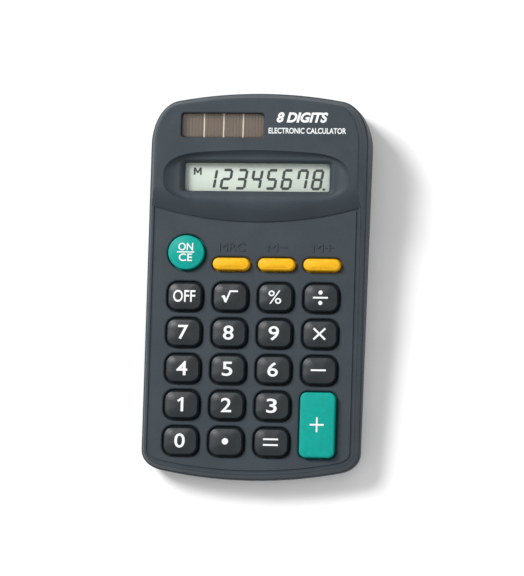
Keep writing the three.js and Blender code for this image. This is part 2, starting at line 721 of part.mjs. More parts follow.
// Screws: pan heads below, shanks upwards
function makeScrew(x, y, sizes, head_low, shank_top) {
  const head = new THREE.CylinderGeometry(sizes.head, sizes.head * 0.85, sizes.head_thick, 16);
  head.rotateX(Math.PI / 2).translate(x, y, head_low + sizes.head_thick / 2);
  const shank = post(x, y, sizes.shank, head_low + sizes.head_thick / 2, shank_top, 10);
  return geometryOf(joined(solid(head), solid(shank)));
}
screw_places.forEach(([x, y], index) => {
  const geometry = makeScrew(x, y, screw, -low_end_depth, screw.reach);
  addPiece(`case_screw_${index + 1}`, geometry, 'steel');
});
board_screw_places.forEach(([x, y], index) => {
  const head_low = board_low - joint_gap - board_screw.head_thick;
  const geometry = makeScrew(x, y, board_screw, head_low, face_under - 1.2);
  addPiece(`board_screw_${index + 1}`, geometry, 'steel');
});

// The origin lies under the middle of the finished calculator
calculator.updateMatrixWorld(true);
const extent = new THREE.Box3().setFromObject(calculator, true);
calculator.position.y -= (extent.min.y + extent.max.y) / 2;

export default calculator;
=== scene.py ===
# %% [markdown]
# # A pocket calculator, piece by piece
# The moving frame of this calculator is already made in CAD: every shell, key and screw has its true
# size and place, and every body can move. This lesson gives it its looks. Hidden or plain CAD parts keep
# their shape and get a finish, and the parts that the eye lands on are modelled again with soft edges,
# pillowed key tops and print. All lengths in the making are millimetres, and each finished piece is
# turned and scaled into the frame, in metres, at the end.

# %% Load the fixed frame
import bpy
import bmesh
import json
import math
from mathutils import Matrix, Vector

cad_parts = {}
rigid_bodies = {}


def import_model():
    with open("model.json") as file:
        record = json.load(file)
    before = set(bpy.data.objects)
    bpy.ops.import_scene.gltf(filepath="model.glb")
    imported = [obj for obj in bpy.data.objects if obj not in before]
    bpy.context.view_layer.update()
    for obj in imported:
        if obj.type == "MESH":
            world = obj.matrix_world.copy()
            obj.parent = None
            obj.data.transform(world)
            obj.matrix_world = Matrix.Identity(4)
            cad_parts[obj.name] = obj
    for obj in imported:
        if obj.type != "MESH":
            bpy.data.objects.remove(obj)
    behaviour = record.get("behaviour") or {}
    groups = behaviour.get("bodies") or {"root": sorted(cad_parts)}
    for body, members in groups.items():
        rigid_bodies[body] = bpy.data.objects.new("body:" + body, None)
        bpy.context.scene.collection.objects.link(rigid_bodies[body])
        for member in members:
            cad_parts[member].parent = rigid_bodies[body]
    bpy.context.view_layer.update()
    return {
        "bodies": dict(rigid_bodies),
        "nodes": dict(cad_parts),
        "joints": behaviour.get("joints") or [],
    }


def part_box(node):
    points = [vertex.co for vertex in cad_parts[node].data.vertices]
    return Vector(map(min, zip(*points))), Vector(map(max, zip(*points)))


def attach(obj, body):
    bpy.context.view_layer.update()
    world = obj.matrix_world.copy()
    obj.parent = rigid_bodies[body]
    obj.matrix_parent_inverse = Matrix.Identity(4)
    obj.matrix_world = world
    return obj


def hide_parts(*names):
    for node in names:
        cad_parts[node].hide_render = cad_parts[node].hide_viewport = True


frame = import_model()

nodes = frame["nodes"]

# %% [markdown]
# The calculator is a wedge, so its face leans towards the reader. It is far easier to model it lying
# flat, with the seam between its two shells at height 0, and to tip it afterwards. The direction in
# which the keys are pressed says how far the face leans, and the middle of the display window says
# where the flat drawing's origin ends up. From then on each CAD part can be measured in the flat drawing.

# %% The flat drawing and how it is tipped into the frame
window_at = 32.53
lens_middle = 3.6
press = next(joint for joint in frame["joints"] if joint["name"] == "press_0")
face_up = -Vector(press["axis"])
tilt = math.atan2(-face_up.y, face_up.z)
lens_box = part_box("display_window")
lens_centre = (lens_box[0] + lens_box[1]) / 2
turn = Matrix.Rotation(tilt, 4, "X")
origin = lens_centre - turn @ Vector((0, window_at, lens_middle)) * 0.001
to_frame = Matrix.Translation(origin) @ turn @ Matrix.Scale(0.001, 4)
back_to_flat = to_frame.inverted() @ Matrix.Scale(0.001, 4)
print("the face leans by", round(math.degrees(tilt), 2), "degrees")


def flat_box(node):
    """Lowest and highest corner of a CAD part, measured in the flat drawing."""
    back = to_frame.inverted()
    places = [back @ vertex.co for vertex in nodes[node].data.vertices]
    low = Vector([min(place[axis] for place in places) for axis in range(3)])
    high = Vector([max(place[axis] for place in places) for axis in range(3)])
    return low, high


def flat_middle(node):
    """Lowest and highest corner of a CAD part in the flat drawing, and its middle in plan."""
    low, high = flat_box(node)
    return low, high, (low.x + high.x) / 2, (low.y + high.y) / 2


face_top = 5.0
deck_top = flat_box("front_shell")[1].z
key_top = flat_box("key_5")[1].z
print("deck at", round(deck_top, 2), "key tops at", round(key_top, 2))

# %% [markdown]
# The camera comes first, because every later choice is judged through it. A long lens from well over a
# metre away keeps the outline almost without perspective, as in a catalogue picture. The camera is
# placed by saying which way it looks back from the face, how far it rolls, and what it looks at.

# %% The camera
look_back = Vector((0.165, -0.18, 0.962)).normalized()
roll = math.radians(0.745)
distance = 1.35
view_width = 0.1561
aim = Vector((2.497, -0.888))

level_x = (Vector((1, 0, 0)) - look_back.x * look_back).normalized()
camera_right = math.cos(roll) * level_x + math.sin(roll) * look_back.cross(level_x)
camera_up = look_back.cross(camera_right)
target = to_frame @ Vector((0, 0, face_top)) + (camera_right * aim.x + camera_up * aim.y) * 0.001
camera_data = bpy.data.cameras.new("camera")
camera_data.sensor_fit = "HORIZONTAL"
camera_data.sensor_width = 36
camera_data.lens = 36 * distance / view_width
camera = bpy.data.objects.new("camera", camera_data)
facing = Matrix((camera_right, camera_up, look_back)).transposed().to_4x4()
camera.matrix_world = Matrix.Translation(target + look_back * distance) @ facing
bpy.context.scene.collection.objects.link(camera)
bpy.context.scene.camera = camera
print("lens", round(camera_data.lens), "mm")

# %% [markdown]
# Every finish here is a small node tree, so a helper that adds a node and sets its values keeps the
# later cells short. Patterns read Object coordinates, which run in metres through the whole model:
# scale 1000 gives a pattern of about a millimetre.

# %% Helpers for materials


def colour(red, green, blue):
    """A colour given in 0 to 255 steps, turned into the linear values that the shader takes."""
    steps = [value / 255 for value in (red, green, blue)]
    linear = [step / 12.92 if step < 0.04 else ((step + 0.055) / 1.055) ** 2.4 for step in steps]
    return (*linear, 1)


def add(tree, kind, values=None, **settings):
    """Adds a node; values go to its sockets by name, and settings to the node itself."""
    node = tree.nodes.new(kind)
    for name, value in settings.items():
        setattr(node, name, value)
    for name, value in (values or {}).items():
        node.inputs[name].default_value = value
    return node


def new_finish(name, roughness, metallic=0.0, **extra):
    """A material with its shader and a source of Object coordinates."""
    material = bpy.data.materials.new(name)
    material.use_nodes = True
    tree = material.node_tree
    shader = tree.nodes["Principled BSDF"]
    shader.inputs["Roughness"].default_value = roughness
    shader.inputs["Metallic"].default_value = metallic
    for socket, value in extra.items():
        shader.inputs[socket.replace("_", " ")].default_value = value
    place = add(tree, "ShaderNodeTexCoord")
    return material, tree, shader, place.outputs["Object"]


def noise(tree, place, scale, detail=3.0, roughness=0.5):
    """Soft cloudy noise, at a scale in features per metre."""
    values = {"Scale": scale, "Detail": detail, "Roughness": roughness}
    node = add(tree, "ShaderNodeTexNoise", values)
    tree.links.new(place, node.inputs["Vector"])
    return node.outputs["Fac"]


def spread(tree, source, low, high, clamp_from=(0.3, 0.7)):
    """Maps the middle of a noise onto a range of values."""
    values = {"From Min": clamp_from[0], "From Max": clamp_from[1], "To Min": low, "To Max": high}
    node = add(tree, "ShaderNodeMapRange", values)
    tree.links.new(source, node.inputs["Value"])
    return node.outputs["Result"]


def blend_colours(tree, source, first, second):
    """Mixes two colours by a value between 0 and 1."""
    node = add(tree, "ShaderNodeMix", data_type="RGBA")
    node.inputs["A"].default_value = first
    node.inputs["B"].default_value = second
    tree.links.new(source, node.inputs["Factor"])
    return node.outputs["Result"]


def darken_by(tree, tone, factor):
    """Multiplies a colour by a value, socket by socket."""
    node = add(tree, "ShaderNodeMix", {"Factor": 1.0}, data_type="RGBA", blend_type="MULTIPLY")
    tree.links.new(tone, node.inputs["A"])
    tree.links.new(factor, node.inputs["B"])
    return node.outputs["Result"]


def bump(tree, shader, height, strength, depth, under=None):
    """Adds relief; depth is in metres."""
    node = add(tree, "ShaderNodeBump", {"Strength": strength, "Distance": depth})
    tree.links.new(height, node.inputs["Height"])
    if under:
        tree.links.new(under, node.inputs["Normal"])
    tree.links.new(node.outputs["Normal"], shader.inputs["Normal"])
    return node.outputs["Normal"]


# %% [markdown]
# The shells are grey ABS with a spark-eroded texture: a fine matt grain of about a fifth of a
# millimetre that breaks up the light, over a colour that drifts very slightly where the plastic flowed.
# A Voronoi or a noise texture could make the grain. Two sizes of noise are used here, because moulded
# grain has no cell pattern, and the same noise also moves the roughness a little.

# %% Grained shell plastic
shell_finish, tree, shader, place = new_finish("grained_shell", 0.6, Specular_IOR_Level=0.3)
flow = noise(tree, place, 90, 4)
fine = noise(tree, place, 5200, 2)
coarse = noise(tree, place, 1900, 3)
shade = blend_colours(tree, spread(tree, flow, 0, 1), colour(48, 57, 64), colour(55, 64, 71))
speckled = darken_by(tree, shade, spread(tree, fine, 0.86, 1.06))
tree.links.new(speckled, shader.inputs["Base Color"])
tree.links.new(spread(tree, coarse, 0.5, 0.68), shader.inputs["Roughness"])
under = bump(tree, shader, coarse, 0.5, 0.00006)
bump(tree, shader, fine, 0.55, 0.00005, under)
print("shell finish ready")

# %% [markdown]
# Key caps are smoother than the shell: polished moulds leave a satin skin with a hint of orange peel,
# and fingers leave faint patches where it shines more. One recipe serves the black, teal and yellow
# caps; only the colour and the gloss differ.

# %% Satin key plastics


def key_finish(name, base, gloss, grain, shine):
    """Satin moulded plastic with an uneven sheen."""
    material, tree, shader, place = new_finish(name, gloss, Specular_IOR_Level=shine)
    patches = noise(tree, place, 260, 3)
    peel = noise(tree, place, 1500, 2)
    dark = tuple(channel * 0.86 for channel in base[:3]) + (1,)
    tone = blend_colours(tree, spread(tree, noise(tree, place, 700, 3), 0, 1), dark, base)
    tree.links.new(tone, shader.inputs["Base Color"])
    tree.links.new(spread(tree, patches, gloss - 0.06, gloss + 0.09), shader.inputs["Roughness"])
    bump(tree, shader, peel, grain, 0.00005)
    return material


black_finish = key_finish("satin_black", colour(20, 28, 33), 0.36, 0.35, 0.6)
teal_finish = key_finish("satin_teal", colour(0, 156, 144), 0.42, 0.2, 0.2)
yellow_finish = key_finish("satin_yellow", colour(238, 178, 22), 0.4, 0.2, 0.25)
print("three key plastics ready")

# %% [markdown]
# Print on keys and case is screen ink. It is slightly uneven in thickness, so it gets a fine mottle in
# both tone and sheen, and it isn't quite pure white.

# %% Ink


def ink_finish(name, base, gloss):
    """Printed ink with a fine mottle."""
    material, tree, shader, place = new_finish(name, gloss, Specular_IOR_Level=0.15)
    mottle = noise(tree, place, 2600, 3)
    worn = tuple(channel * 0.88 for channel in base[:3]) + (1,)
    tone = blend_colours(tree, spread(tree, mottle, 0, 1), worn, base)
    tree.links.new(tone, shader.inputs["Base Color"])
    tree.links.new(spread(tree, mottle, gloss - 0.08, gloss + 0.08), shader.inputs["Roughness"])
    bump(tree, shader, mottle, 0.2, 0.00003)
    return material


white_ink = ink_finish("white_ink", colour(238, 240, 240), 0.5)
lcd_ink = ink_finish("display_segment", colour(14, 18, 18), 0.35)
print("inks ready")

# %% [markdown]
# Most shapes on a calculator start as an outline: a rectangle with soft corners, a capsule, an oval, or
# the case itself. A closed Bezier curve draws any of them with few points, and turned into a mesh it is
# a clean ring of edges, ready to be filled and extruded. Corner sizes across and along are separate, so
# the same helper gives a key, a capsule and a wide oval.

# %% Outlines drawn as Bezier curves


def ring_of(points, steps, height=0.0):
    """Points are (place, handle before, handle after) in plan; gives a bmesh with one ring of edges."""
    drawing = bpy.data.curves.new("outline", "CURVE")
    drawing.dimensions = "2D"
    drawing.fill_mode = "NONE"
    drawing.resolution_u = steps
    spline = drawing.splines.new("BEZIER")
    spline.bezier_points.add(len(points) - 1)
    spline.use_cyclic_u = True
    for knot, (place, before, after) in zip(spline.bezier_points, points):
        knot.co = (*place, 0)
        knot.handle_left = (*before, 0)
        knot.handle_right = (*after, 0)
    holder = bpy.data.objects.new("outline", drawing)
    flat = bpy.data.meshes.new_from_object(holder)
    bm = bmesh.new()
    bm.from_mesh(flat)
    bpy.data.objects.remove(holder)
    bpy.data.curves.remove(drawing)
    bpy.data.meshes.remove(flat)
    bmesh.ops.remove_doubles(bm, verts=bm.verts, dist=1e-5)
    bmesh.ops.translate(bm, verts=bm.verts, vec=(0, 0, height))
    return bm


def soft_box_points(half, corner, centre=(0, 0), pull=0.552):
    """Bezier points of a rectangle whose corners are quarter ovals."""
    points = []
    for right, up in ((1, 1), (-1, 1), (-1, -1), (1, -1)):
        side = Vector((right * half[0], up * (half[1] - corner[1])))
        end = Vector((right * (half[0] - corner[0]), up * half[1]))
        side_out = side + Vector((0, up * corner[1] * pull))
        end_out = end + Vector((right * corner[0] * pull, 0))
        pair = [
            (side, side - Vector((0, up * 0.1)), side_out),
            (end, end_out, end - Vector((right * 0.1, 0))),
        ]
        if right * up < 0:
            pair = [(place, after, before) for place, before, after in reversed(pair)]
        points += pair
    middle = Vector(centre)
    return [tuple(spot + middle for spot in knot) for knot in points]


def filled(bm):
    """Closes the ring of edges with one face that looks up, and returns it."""
    face = bmesh.ops.contextual_create(bm, geom=bm.edges[:])["faces"][0]
    face.normal_update()
    if face.normal.z < 0:
        bmesh.ops.reverse_faces(bm, faces=[face])
    return face


def soft_box(half, corner, centre=(0, 0), height=0.0, steps=8):
    """A bmesh with one face that looks up: a rectangle with soft corners."""
    bm = ring_of(soft_box_points(half, corner, centre), steps, height)
    bmesh.ops.remove_doubles(bm, verts=bm.verts, dist=0.04)
    return bm, filled(bm)


# %% [markdown]
# A moulded part is built up from its outline by two moves. Extruding lifts the face straight up, and an
# inset with a depth makes a sloping or rounded edge. Ten small insets that follow a quarter circle give
# a true rounded edge, the same all round, which scaling a ring wouldn't.

# %% Extrude, inset and round over


def lift(bm, face, rise):
    """Extrudes a face along its normal by rise and returns the new face."""
    way = face.normal.copy()
    made = bmesh.ops.extrude_face_region(bm, geom=[face])["geom"]
    top = next(item for item in made if isinstance(item, bmesh.types.BMFace))
    verts = [item for item in made if isinstance(item, bmesh.types.BMVert)]
    bmesh.ops.translate(bm, verts=verts, vec=way * rise)
    if face.is_valid:
        bmesh.ops.delete(bm, geom=[face], context="FACES_ONLY")
    return top


def slope(bm, face, inward, rise):
    """Insets a face by inward while it rises; a negative inward makes it wider."""
    bmesh.ops.inset_region(
        bm, faces=[face], thickness=inward, depth=rise, use_even_offset=True, use_boundary=True,
    )
    return face


def round_over(bm, face, radius, steps=5, start=0.0, height=None):
    """Follows a quarter circle inwards and up; height makes it a quarter oval."""
    rise = height or radius
    first = math.radians(start)
    before = (radius * (1 - math.cos(first)), rise * math.sin(first))
    for step in range(1, steps + 1):
        angle = math.radians(start + (90 - start) * step / steps)
        now = (radius * (1 - math.cos(angle)), rise * math.sin(angle))
        slope(bm, face, now[0] - before[0], now[1] - before[1])
        before = now
    return face


def flare(bm, face, radius, steps=5):
    """Widens a cutter along a quarter circle, which leaves a rounded lip where it cuts."""
    before = (0.0, 0.0)
    for step in range(1, steps + 1):
        angle = math.radians(90 * step / steps)
        now = (radius * (1 - math.cos(angle)), radius * math.sin(angle))
        slope(bm, face, before[0] - now[0], now[1] - before[1])
        before = now
    return face


# %% [markdown]
# Openings are cut with Boolean modifiers, as a milling cutter would cut them. The manifold solver
# keeps every result closed. Sharp edges are then marked by angle. The large flat faces that the cuts leave
# have many corners, and they are shaded flat, so that they stay flat up to their rounded edges.

# %% Cutting, joining and finishing


def to_object(bm, name):
    """Turns a bmesh into an object, with doubles welded and faces looking outwards."""
    bmesh.ops.remove_doubles(bm, verts=bm.verts, dist=1e-4)
    open_rim = [edge for edge in bm.edges if edge.is_boundary]
    if open_rim:
        bmesh.ops.holes_fill(bm, edges=open_rim, sides=0)
    bmesh.ops.recalc_face_normals(bm, faces=bm.faces)
    mesh = bpy.data.meshes.new(name)
    bm.to_mesh(mesh)
    bm.free()
    piece = bpy.data.objects.new(name, mesh)
    bpy.context.scene.collection.objects.link(piece)
    return piece


def carve(piece, tools, operation="DIFFERENCE"):
    """Applies one Boolean for each tool and throws the tools away."""
    for tool in tools:
        knife = piece.modifiers.new("cut", "BOOLEAN")
        knife.solver = "MANIFOLD"
        knife.operation = operation
        knife.object = tool
        graph = bpy.context.evaluated_depsgraph_get()
        result = bpy.data.meshes.new_from_object(piece.evaluated_get(graph))
        piece.modifiers.clear()
        piece.data = result
        bpy.data.objects.remove(tool)
    return piece


def complete(piece, body, finishes, stands_for=(), angle=32):
    """Tips a flat-drawn piece into the frame, shades it, and puts it on its body."""
    mesh = piece.data
    mesh.transform(to_frame)
    mesh.name = piece.name
    mesh.shade_smooth()
    mesh.set_sharp_from_angle(angle=math.radians(angle))
    for polygon in mesh.polygons:
        if len(polygon.vertices) > 8:
            polygon.use_smooth = False
    if len(mesh.materials):
        mesh.materials.clear()
    for finish in finishes:
        mesh.materials.append(finish)
    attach(piece, body)
    if stands_for:
        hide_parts(*stands_for)
    print(piece.name, "has", len(mesh.polygons), "faces")
    return piece


# %% [markdown]
# The outline of the case is shared by both shells: straight sides, soft corners that are longer at the
# display end, and ends that bow out on a large radius. Insets of the same outline give the walls.

# %% The case outline
half_width = 33
half_length = 58.08
end_radius = 138


def case_points():
    """Bezier points of the case outline in plan."""
    points = []
    for right, up, across, along in ((1, 1, 8, 13.5), (-1, 1, 8, 13.5), (-1, -1, 6, 6), (1, -1, 6, 6)):
        lean = math.asin((half_width - across) / end_radius)
        arc_y = half_length - end_radius + end_radius * math.cos(lean)
        side = Vector((right * half_width, up * (arc_y - along)))
        end = Vector((right * (half_width - across), up * arc_y))
        outward = Vector((right * math.cos(lean), -up * math.sin(lean)))
        arc_pull = 4 / 3 * math.tan(lean / 2) * end_radius
        pair = [
            (side, side - Vector((0, up * 0.1)), side + Vector((0, up * along * 0.55))),
            (end, end + outward * across * 0.55, end - outward * arc_pull),
        ]
        if right * up < 0:
            pair = [(place, after, before) for place, before, after in reversed(pair)]
        points += pair
    return points


def case_face(inset=0.0, height=0.0, steps=14):
    """One face with the case outline, set in all round."""
    bm = ring_of(case_points(), steps, height)
    face = filled(bm)
    if inset:
        slope(bm, face, inset, 0)
        rest = [other for other in bm.faces if other is not face]
        bmesh.ops.delete(bm, geom=rest, context="FACES")
    return bm, face


def block(low, high, name="tool"):
    """A plain block between two corners, as a cutting tool."""
    bm = bmesh.new()
    bmesh.ops.create_cube(bm, size=1)
    size = [high[axis] - low[axis] for axis in range(3)]
    middle = [(high[axis] + low[axis]) / 2 for axis in range(3)]
    bmesh.ops.scale(bm, verts=bm.verts, vec=size)
    bmesh.ops.translate(bm, verts=bm.verts, vec=middle)
    return to_object(bm, name)


def post(x, y, radius, low, high, name="tool", sides=32):
    """An upright round bar, as a cutting tool or a stud."""
    bm = bmesh.new()
    bmesh.ops.create_cone(
        bm, cap_ends=True, segments=sides, radius1=radius, radius2=radius, depth=high - low,
    )
    bmesh.ops.translate(bm, verts=bm.verts, vec=(x, y, (low + high) / 2))
    return to_object(bm, name)


# %% [markdown]
# The upper body of the front shell has a side wall, a narrow rounded ledge, and a face that stands on it
# behind a leaning wall. Two such bodies make the step: one as high as the keypad face, and one as high as
# the display deck, from which the keypad end is cut away. Each keeps its own rounded top edge, which a
# single body with a cut would lose.

# %% The two bodies of the front shell
ledge_height = 2.1
ledge_inset = 0.4
lean_per_mm = (2.05 - 0.4) / (deck_top - ledge_height)


def front_body(top_height, edge, name, slack=0.0):
    """Outline, side wall, ledge, leaning wall and rounded edge up to top_height."""
    bm, face = case_face(slack)
    face = lift(bm, face, 1.5)
    round_over(bm, face, ledge_inset, 5, height=ledge_height - 1.5)
    lean = math.atan(lean_per_mm)
    wall = top_height - ledge_height - edge * (1 - math.sin(lean))
    slope(bm, face, wall * lean_per_mm, wall)
    round_over(bm, face, edge, 6, start=math.degrees(lean))
    return to_object(bm, name)


front_cover = front_body(face_top, 0.45, "front_cover")
deck = front_body(deck_top, 0.7, "deck", slack=0.02)
print("deck wall leans", round(lean_per_mm, 2), "mm in for each mm up")

# %% [markdown]
# The step between keypad and display follows a large arc, so its slope is part of a cone: a profile
# turned about a point far above the display. A spin of the profile gives the cutter. The slope starts
# at a clear crease and eases into the deck, so that its top has no hard line.

# %% The curved step
step_at = 19.03
step_radius = 111
step_centre = step_at + step_radius
step_width = 6
step_sweep = math.asin((half_width + 8) / step_radius)


def arc_region(profile, name):
    """Spins a closed profile of (radius, height) points about the step's centre."""
    bm = bmesh.new()
    start = -step_sweep
    verts = []
    for radius, height in profile:
        x = radius * math.sin(start)
        y = step_centre - radius * math.cos(start)
        verts.append(bmesh.ops.create_vert(bm, co=(x, y, height))["vert"][0])
    face = bmesh.ops.contextual_create(bm, geom=verts)["faces"]
    bmesh.ops.spin(
        bm, geom=face + [edge for edge in bm.edges], cent=(0, step_centre, 0), axis=(0, 0, 1),
        dvec=(0, 0, 0), angle=2 * step_sweep, steps=48, use_merge=False, use_normal_flip=False,
    )
    return to_object(bm, name)


step_profile = [(step_radius + 95, 3), (step_radius + 0.2, 3), (step_radius + 0.2, face_top - 0.3)]
for part in range(13):
    along = part / 12
    rise = (deck_top - face_top) * math.sin(math.radians(90 * along))
    step_profile.append((step_radius - step_width * along, face_top + rise))
step_profile += [(step_radius - step_width - 8, deck_top + 0.02), (step_radius - step_width - 8, 20)]
step_profile.append((step_radius + 95, 20))
carve(deck, [arc_region(step_profile, "keypad_end")])
carve(front_cover, [deck], "UNION")
print("step slope spans", step_width, "mm")

# %% [markdown]
# A shallow channel runs round the keypad face, just inside its edge and along the foot of the step. It
# hides the flow marks of the mould and catches the light as a thin line. Its cutter is a band: one
# region of the outline with a slightly smaller one taken out of it.

# %% Channel round the keypad face
channel_depth = 0.32
channel_floor = face_top - channel_depth
far = step_radius + 95


def keypad_region(inset, back, low, high, name):
    """The keypad end of the outline, set in by inset and kept back from the step."""
    bm, face = case_face(inset, low)
    lift(bm, face, high - low)
    region = to_object(bm, name)
    near = step_radius + back
    profile = [(far, low - 1), (near, low - 1), (near, high + 1), (far, high + 1)]
    return carve(region, [arc_region(profile, "limit")], "INTERSECT")


channel = keypad_region(2.0, 0.0, channel_floor, face_top + 1, "channel")
island = keypad_region(2.75, 0.55, channel_floor - 1, face_top + 2, "island")
carve(channel, [island])
carve(front_cover, [channel])
print("channel", channel_depth, "mm deep")

# %% [markdown]
# The display lies in a wide oval dish whose sides curve down to the window. The cutter is lofted: a stack
# of rings that change step by step from the oval at the top to the rectangle round the window. Every
# ring has the same number of points, so bridging them in pairs makes clean strips.

# %% Lofting from rings


def oval_points(half, corner, centre, arch=0.0, pull=0.552):
    """Like soft_box_points, with long sides that bow out by arch."""
    points = []
    reach = (half[0] - corner[0]) * 2 / 3
    for right, up in ((1, 1), (-1, 1), (-1, -1), (1, -1)):
        side = Vector((right * half[0], up * (half[1] - corner[1])))
        end = Vector((right * (half[0] - corner[0]), up * (half[1] - arch)))
        along = Vector((right, -up * arch * 1.33 / reach))
        pair = [
            (side, side - Vector((0, up * 0.01)), side + Vector((0, up * corner[1] * pull))),
            (end, end + along * corner[0] * pull, end - along * reach),
        ]
        if right * up < 0:
            pair = [(place, after, before) for place, before, after in reversed(pair)]
        points += pair
    middle = Vector(centre)
    return [tuple(spot + middle for spot in knot) for knot in points]


def loft(rings, name, steps=10):
    """Bridges rings of (half, corner, centre, arch, height) and closes both ends."""
    bm = bmesh.new()
    loops = []
    for half, corner, centre, arch, height in rings:
        ring = ring_of(oval_points(half, corner, centre, arch), steps, height)
        flat = bpy.data.meshes.new("ring")
        ring.to_mesh(flat)
        ring.free()
        before = set(bm.edges)
        bm.from_mesh(flat)
        bpy.data.meshes.remove(flat)
        loops.append([edge for edge in bm.edges if edge not in before])
    for first, second in zip(loops, loops[1:]):
        bmesh.ops.bridge_loops(bm, edges=first + second)
    for loop in (loops[0], loops[-1]):
        bmesh.ops.contextual_create(bm, geom=loop)
    return to_object(bm, name)


# %% [markdown]
# The dish is a stack of eleven rings. The outermost is an oval with bowed long sides, and the innermost is
# a little larger than the window. The share between them goes evenly inwards, while the depth grows fast
# at first and then levels off, which makes the hollow curve.

# %% The dish round the display
dish_depth = 1.5
dish_floor = deck_top - dish_depth
window_half = (23, 4.75)
outer_half = (28.1, 8.3)
outer_middle = 31.93


def between(low, high, share):
    return low + (high - low) * share


dish_rings = []
for part in range(11):
    inward = part / 10
    sink = 1 - (1 - inward) ** 2.2
    half = (between(outer_half[0], 23.6, inward), between(outer_half[1], 5.35, inward))
    corner = (between(10.5, 1.6, inward), between(7.4, 1.6, inward))
    centre = (0, between(outer_middle, window_at, inward))
    arch = between(0.75, 0.02, inward)
    dish_rings.append((half, corner, centre, arch, deck_top - dish_depth * sink))
dish_rings.insert(0, ((28.5, 8.7), (10.9, 7.8), (0, outer_middle), 0.75, deck_top + 0.12))
dish_rings.insert(0, ((29, 9.2), (11.4, 8.3), (0, outer_middle), 0.75, deck_top + 4))
carve(front_cover, [loft(dish_rings, "dish")])
print("dish is", 2 * outer_half[0], "by", 2 * outer_half[1], "mm")

# %% [markdown]
# The window's walls lean inwards on their way down to the lens, which hides the edge of the display
# behind it. The solar window has straight walls with a small rounded edge at the top.

# %% Window and solar openings
window_rings = [
    ((23.5, 5.25), (1.7, 1.7), (0, window_at), 0.01, dish_floor + 1),
    ((23.5, 5.25), (1.7, 1.7), (0, window_at), 0.01, dish_floor + 0.01),
    ((23.1, 4.85), (1.3, 1.3), (0, window_at), 0.01, dish_floor - 0.12),
    ((22.8, 4.6), (1.1, 1.1), (0, window_at), 0.01, dish_floor - 0.35),
    ((21.7, 4.15), (0.6, 0.6), (0, window_at - 0.1), 0.01, 4.1),
    ((21.7, 4.15), (0.6, 0.6), (0, window_at - 0.1), 0.01, 2),
]
carve(front_cover, [loft(window_rings, "window")])
solar_low, solar_high = flat_box("solar_window")
solar_at = ((solar_low.x + solar_high.x) / 2, (solar_low.y + solar_high.y) / 2)
bm, face = soft_box((12.6, 3.7), (1, 1), solar_at, 3)
face = lift(bm, face, deck_top - 0.3 - 3)
flare(bm, face, 0.3, 4)
lift(bm, face, 3)
carve(front_cover, [to_object(bm, "solar_opening")])
print("solar window at", [round(value, 2) for value in solar_at])

# %% [markdown]
# Each key stands in a well with a rounded lip. The wells follow the CAD keys, whose retaining flanges
# are hidden under the face: a well is the flange less its overlap. The memory keys are slimmer than their
# CAD parts by half a millimetre on each long side. All wells are cut before the hollow.

# %% Key wells
flange = 0.45
memory_slim = 0.5
keys = {}
for name in frame["bodies"]:
    if name.startswith("key_"):
        low, high = flat_box(name)
        slim = memory_slim if name.startswith("key_memory") else 0
        half = ((high.x - low.x) / 2 - flange, (high.y - low.y) / 2 - flange - slim)
        keys[name] = (((high.x + low.x) / 2, (high.y + low.y) / 2), half)


def key_kind(name):
    """Which of the four cap shapes a key has."""
    if name == "key_plus":
        return "tall"
    if name == "key_on_clear":
        return "round"
    return "memory" if name.startswith("key_memory") else "black"


def key_corner(name):
    """Corner size of a key's well."""
    half = keys[name][1]
    kind = key_kind(name)
    if kind == "round":
        return (half[0] - 0.01, half[1] - 0.01)
    if kind == "memory":
        return (half[1] - 0.01, half[1] - 0.01)
    if kind == "tall":
        return (2.3, 2.3)
    return (3.2, 3.2)


def well_tool(name):
    centre, half = keys[name]
    bm, face = soft_box(half, key_corner(name), centre, 2, 10)
    lip = 0.55
    face = lift(bm, face, face_top - lip - 2)
    flare(bm, face, lip, 6)
    lift(bm, face, 2)
    return to_object(bm, "well")


carve(front_cover, [well_tool(name) for name in keys])
print(len(keys), "wells cut")

# %% [markdown]
# Under the skin the shell is hollow, with a wall of about 1.6 mm. The hollow is cut last, in steps that
# follow the outside: low under the keypad, high under the deck, and shallow under the dish, where the
# lens has its own pocket. Studs for the screws stand in the hollow.

# %% Hollow and studs
face_under = 3.4
deck_under = 5.7


def hollow(inset, low, high, name="hollow"):
    bm, face = case_face(inset, low)
    lift(bm, face, high - low)
    return to_object(bm, name)


deck_room = carve(
    hollow(3.25, 1, deck_under), [block((-40, 41.3, 0), (40, 70, 9))], "INTERSECT",
)
cell_low, cell_high = flat_box("solar_cell")
cell_room = block(
    (cell_low.x - 0.3, cell_low.y - 0.3, 3), (cell_high.x + 0.3, cell_high.y + 0.3, deck_under - 0.001),
)
lens_low, lens_high = flat_box("display_window")
lens_room = block(
    (lens_low.x - 0.3, lens_low.y - 0.3, 3), (lens_high.x + 0.3, lens_high.y + 0.3, lens_high.z + 0.3),
)
carve(front_cover, [hollow(1.8, -1, 1.4), hollow(3.25, 1, face_under), deck_room, cell_room, lens_room])
for index in range(1, 5):
    low, high, x, y = flat_middle(f"case_screw_{index}")
    carve(front_cover, [post(x, y, 2, 0, 4, "stud")], "UNION")
    carve(front_cover, [post(x, y, 1.2, -1, 2.5, "bore")])
    low, high, x, y = flat_middle(f"board_screw_{index}")
    carve(front_cover, [post(x, y, 1.8, -0.5, 4, "stud")], "UNION")
    carve(front_cover, [post(x, y, 1, -1, 2.6, "bore")])
print("front shell has", len(front_cover.data.polygons), "faces")
complete(front_cover, "case", [shell_finish], ["front_shell"], angle=28)

# %% [markdown]
# A key cap is one moulding: a flange that holds it in, a skirt that fits its well, a shoulder that draws
# in, a small rounded edge, and a top that is slightly domed so that a finger finds its middle. The dome
# is a stack of rings, each a little smaller and a little higher than the last.

# %% Key caps
flange_low = 2.3
flange_thick = 0.8
side_gap = 0.4


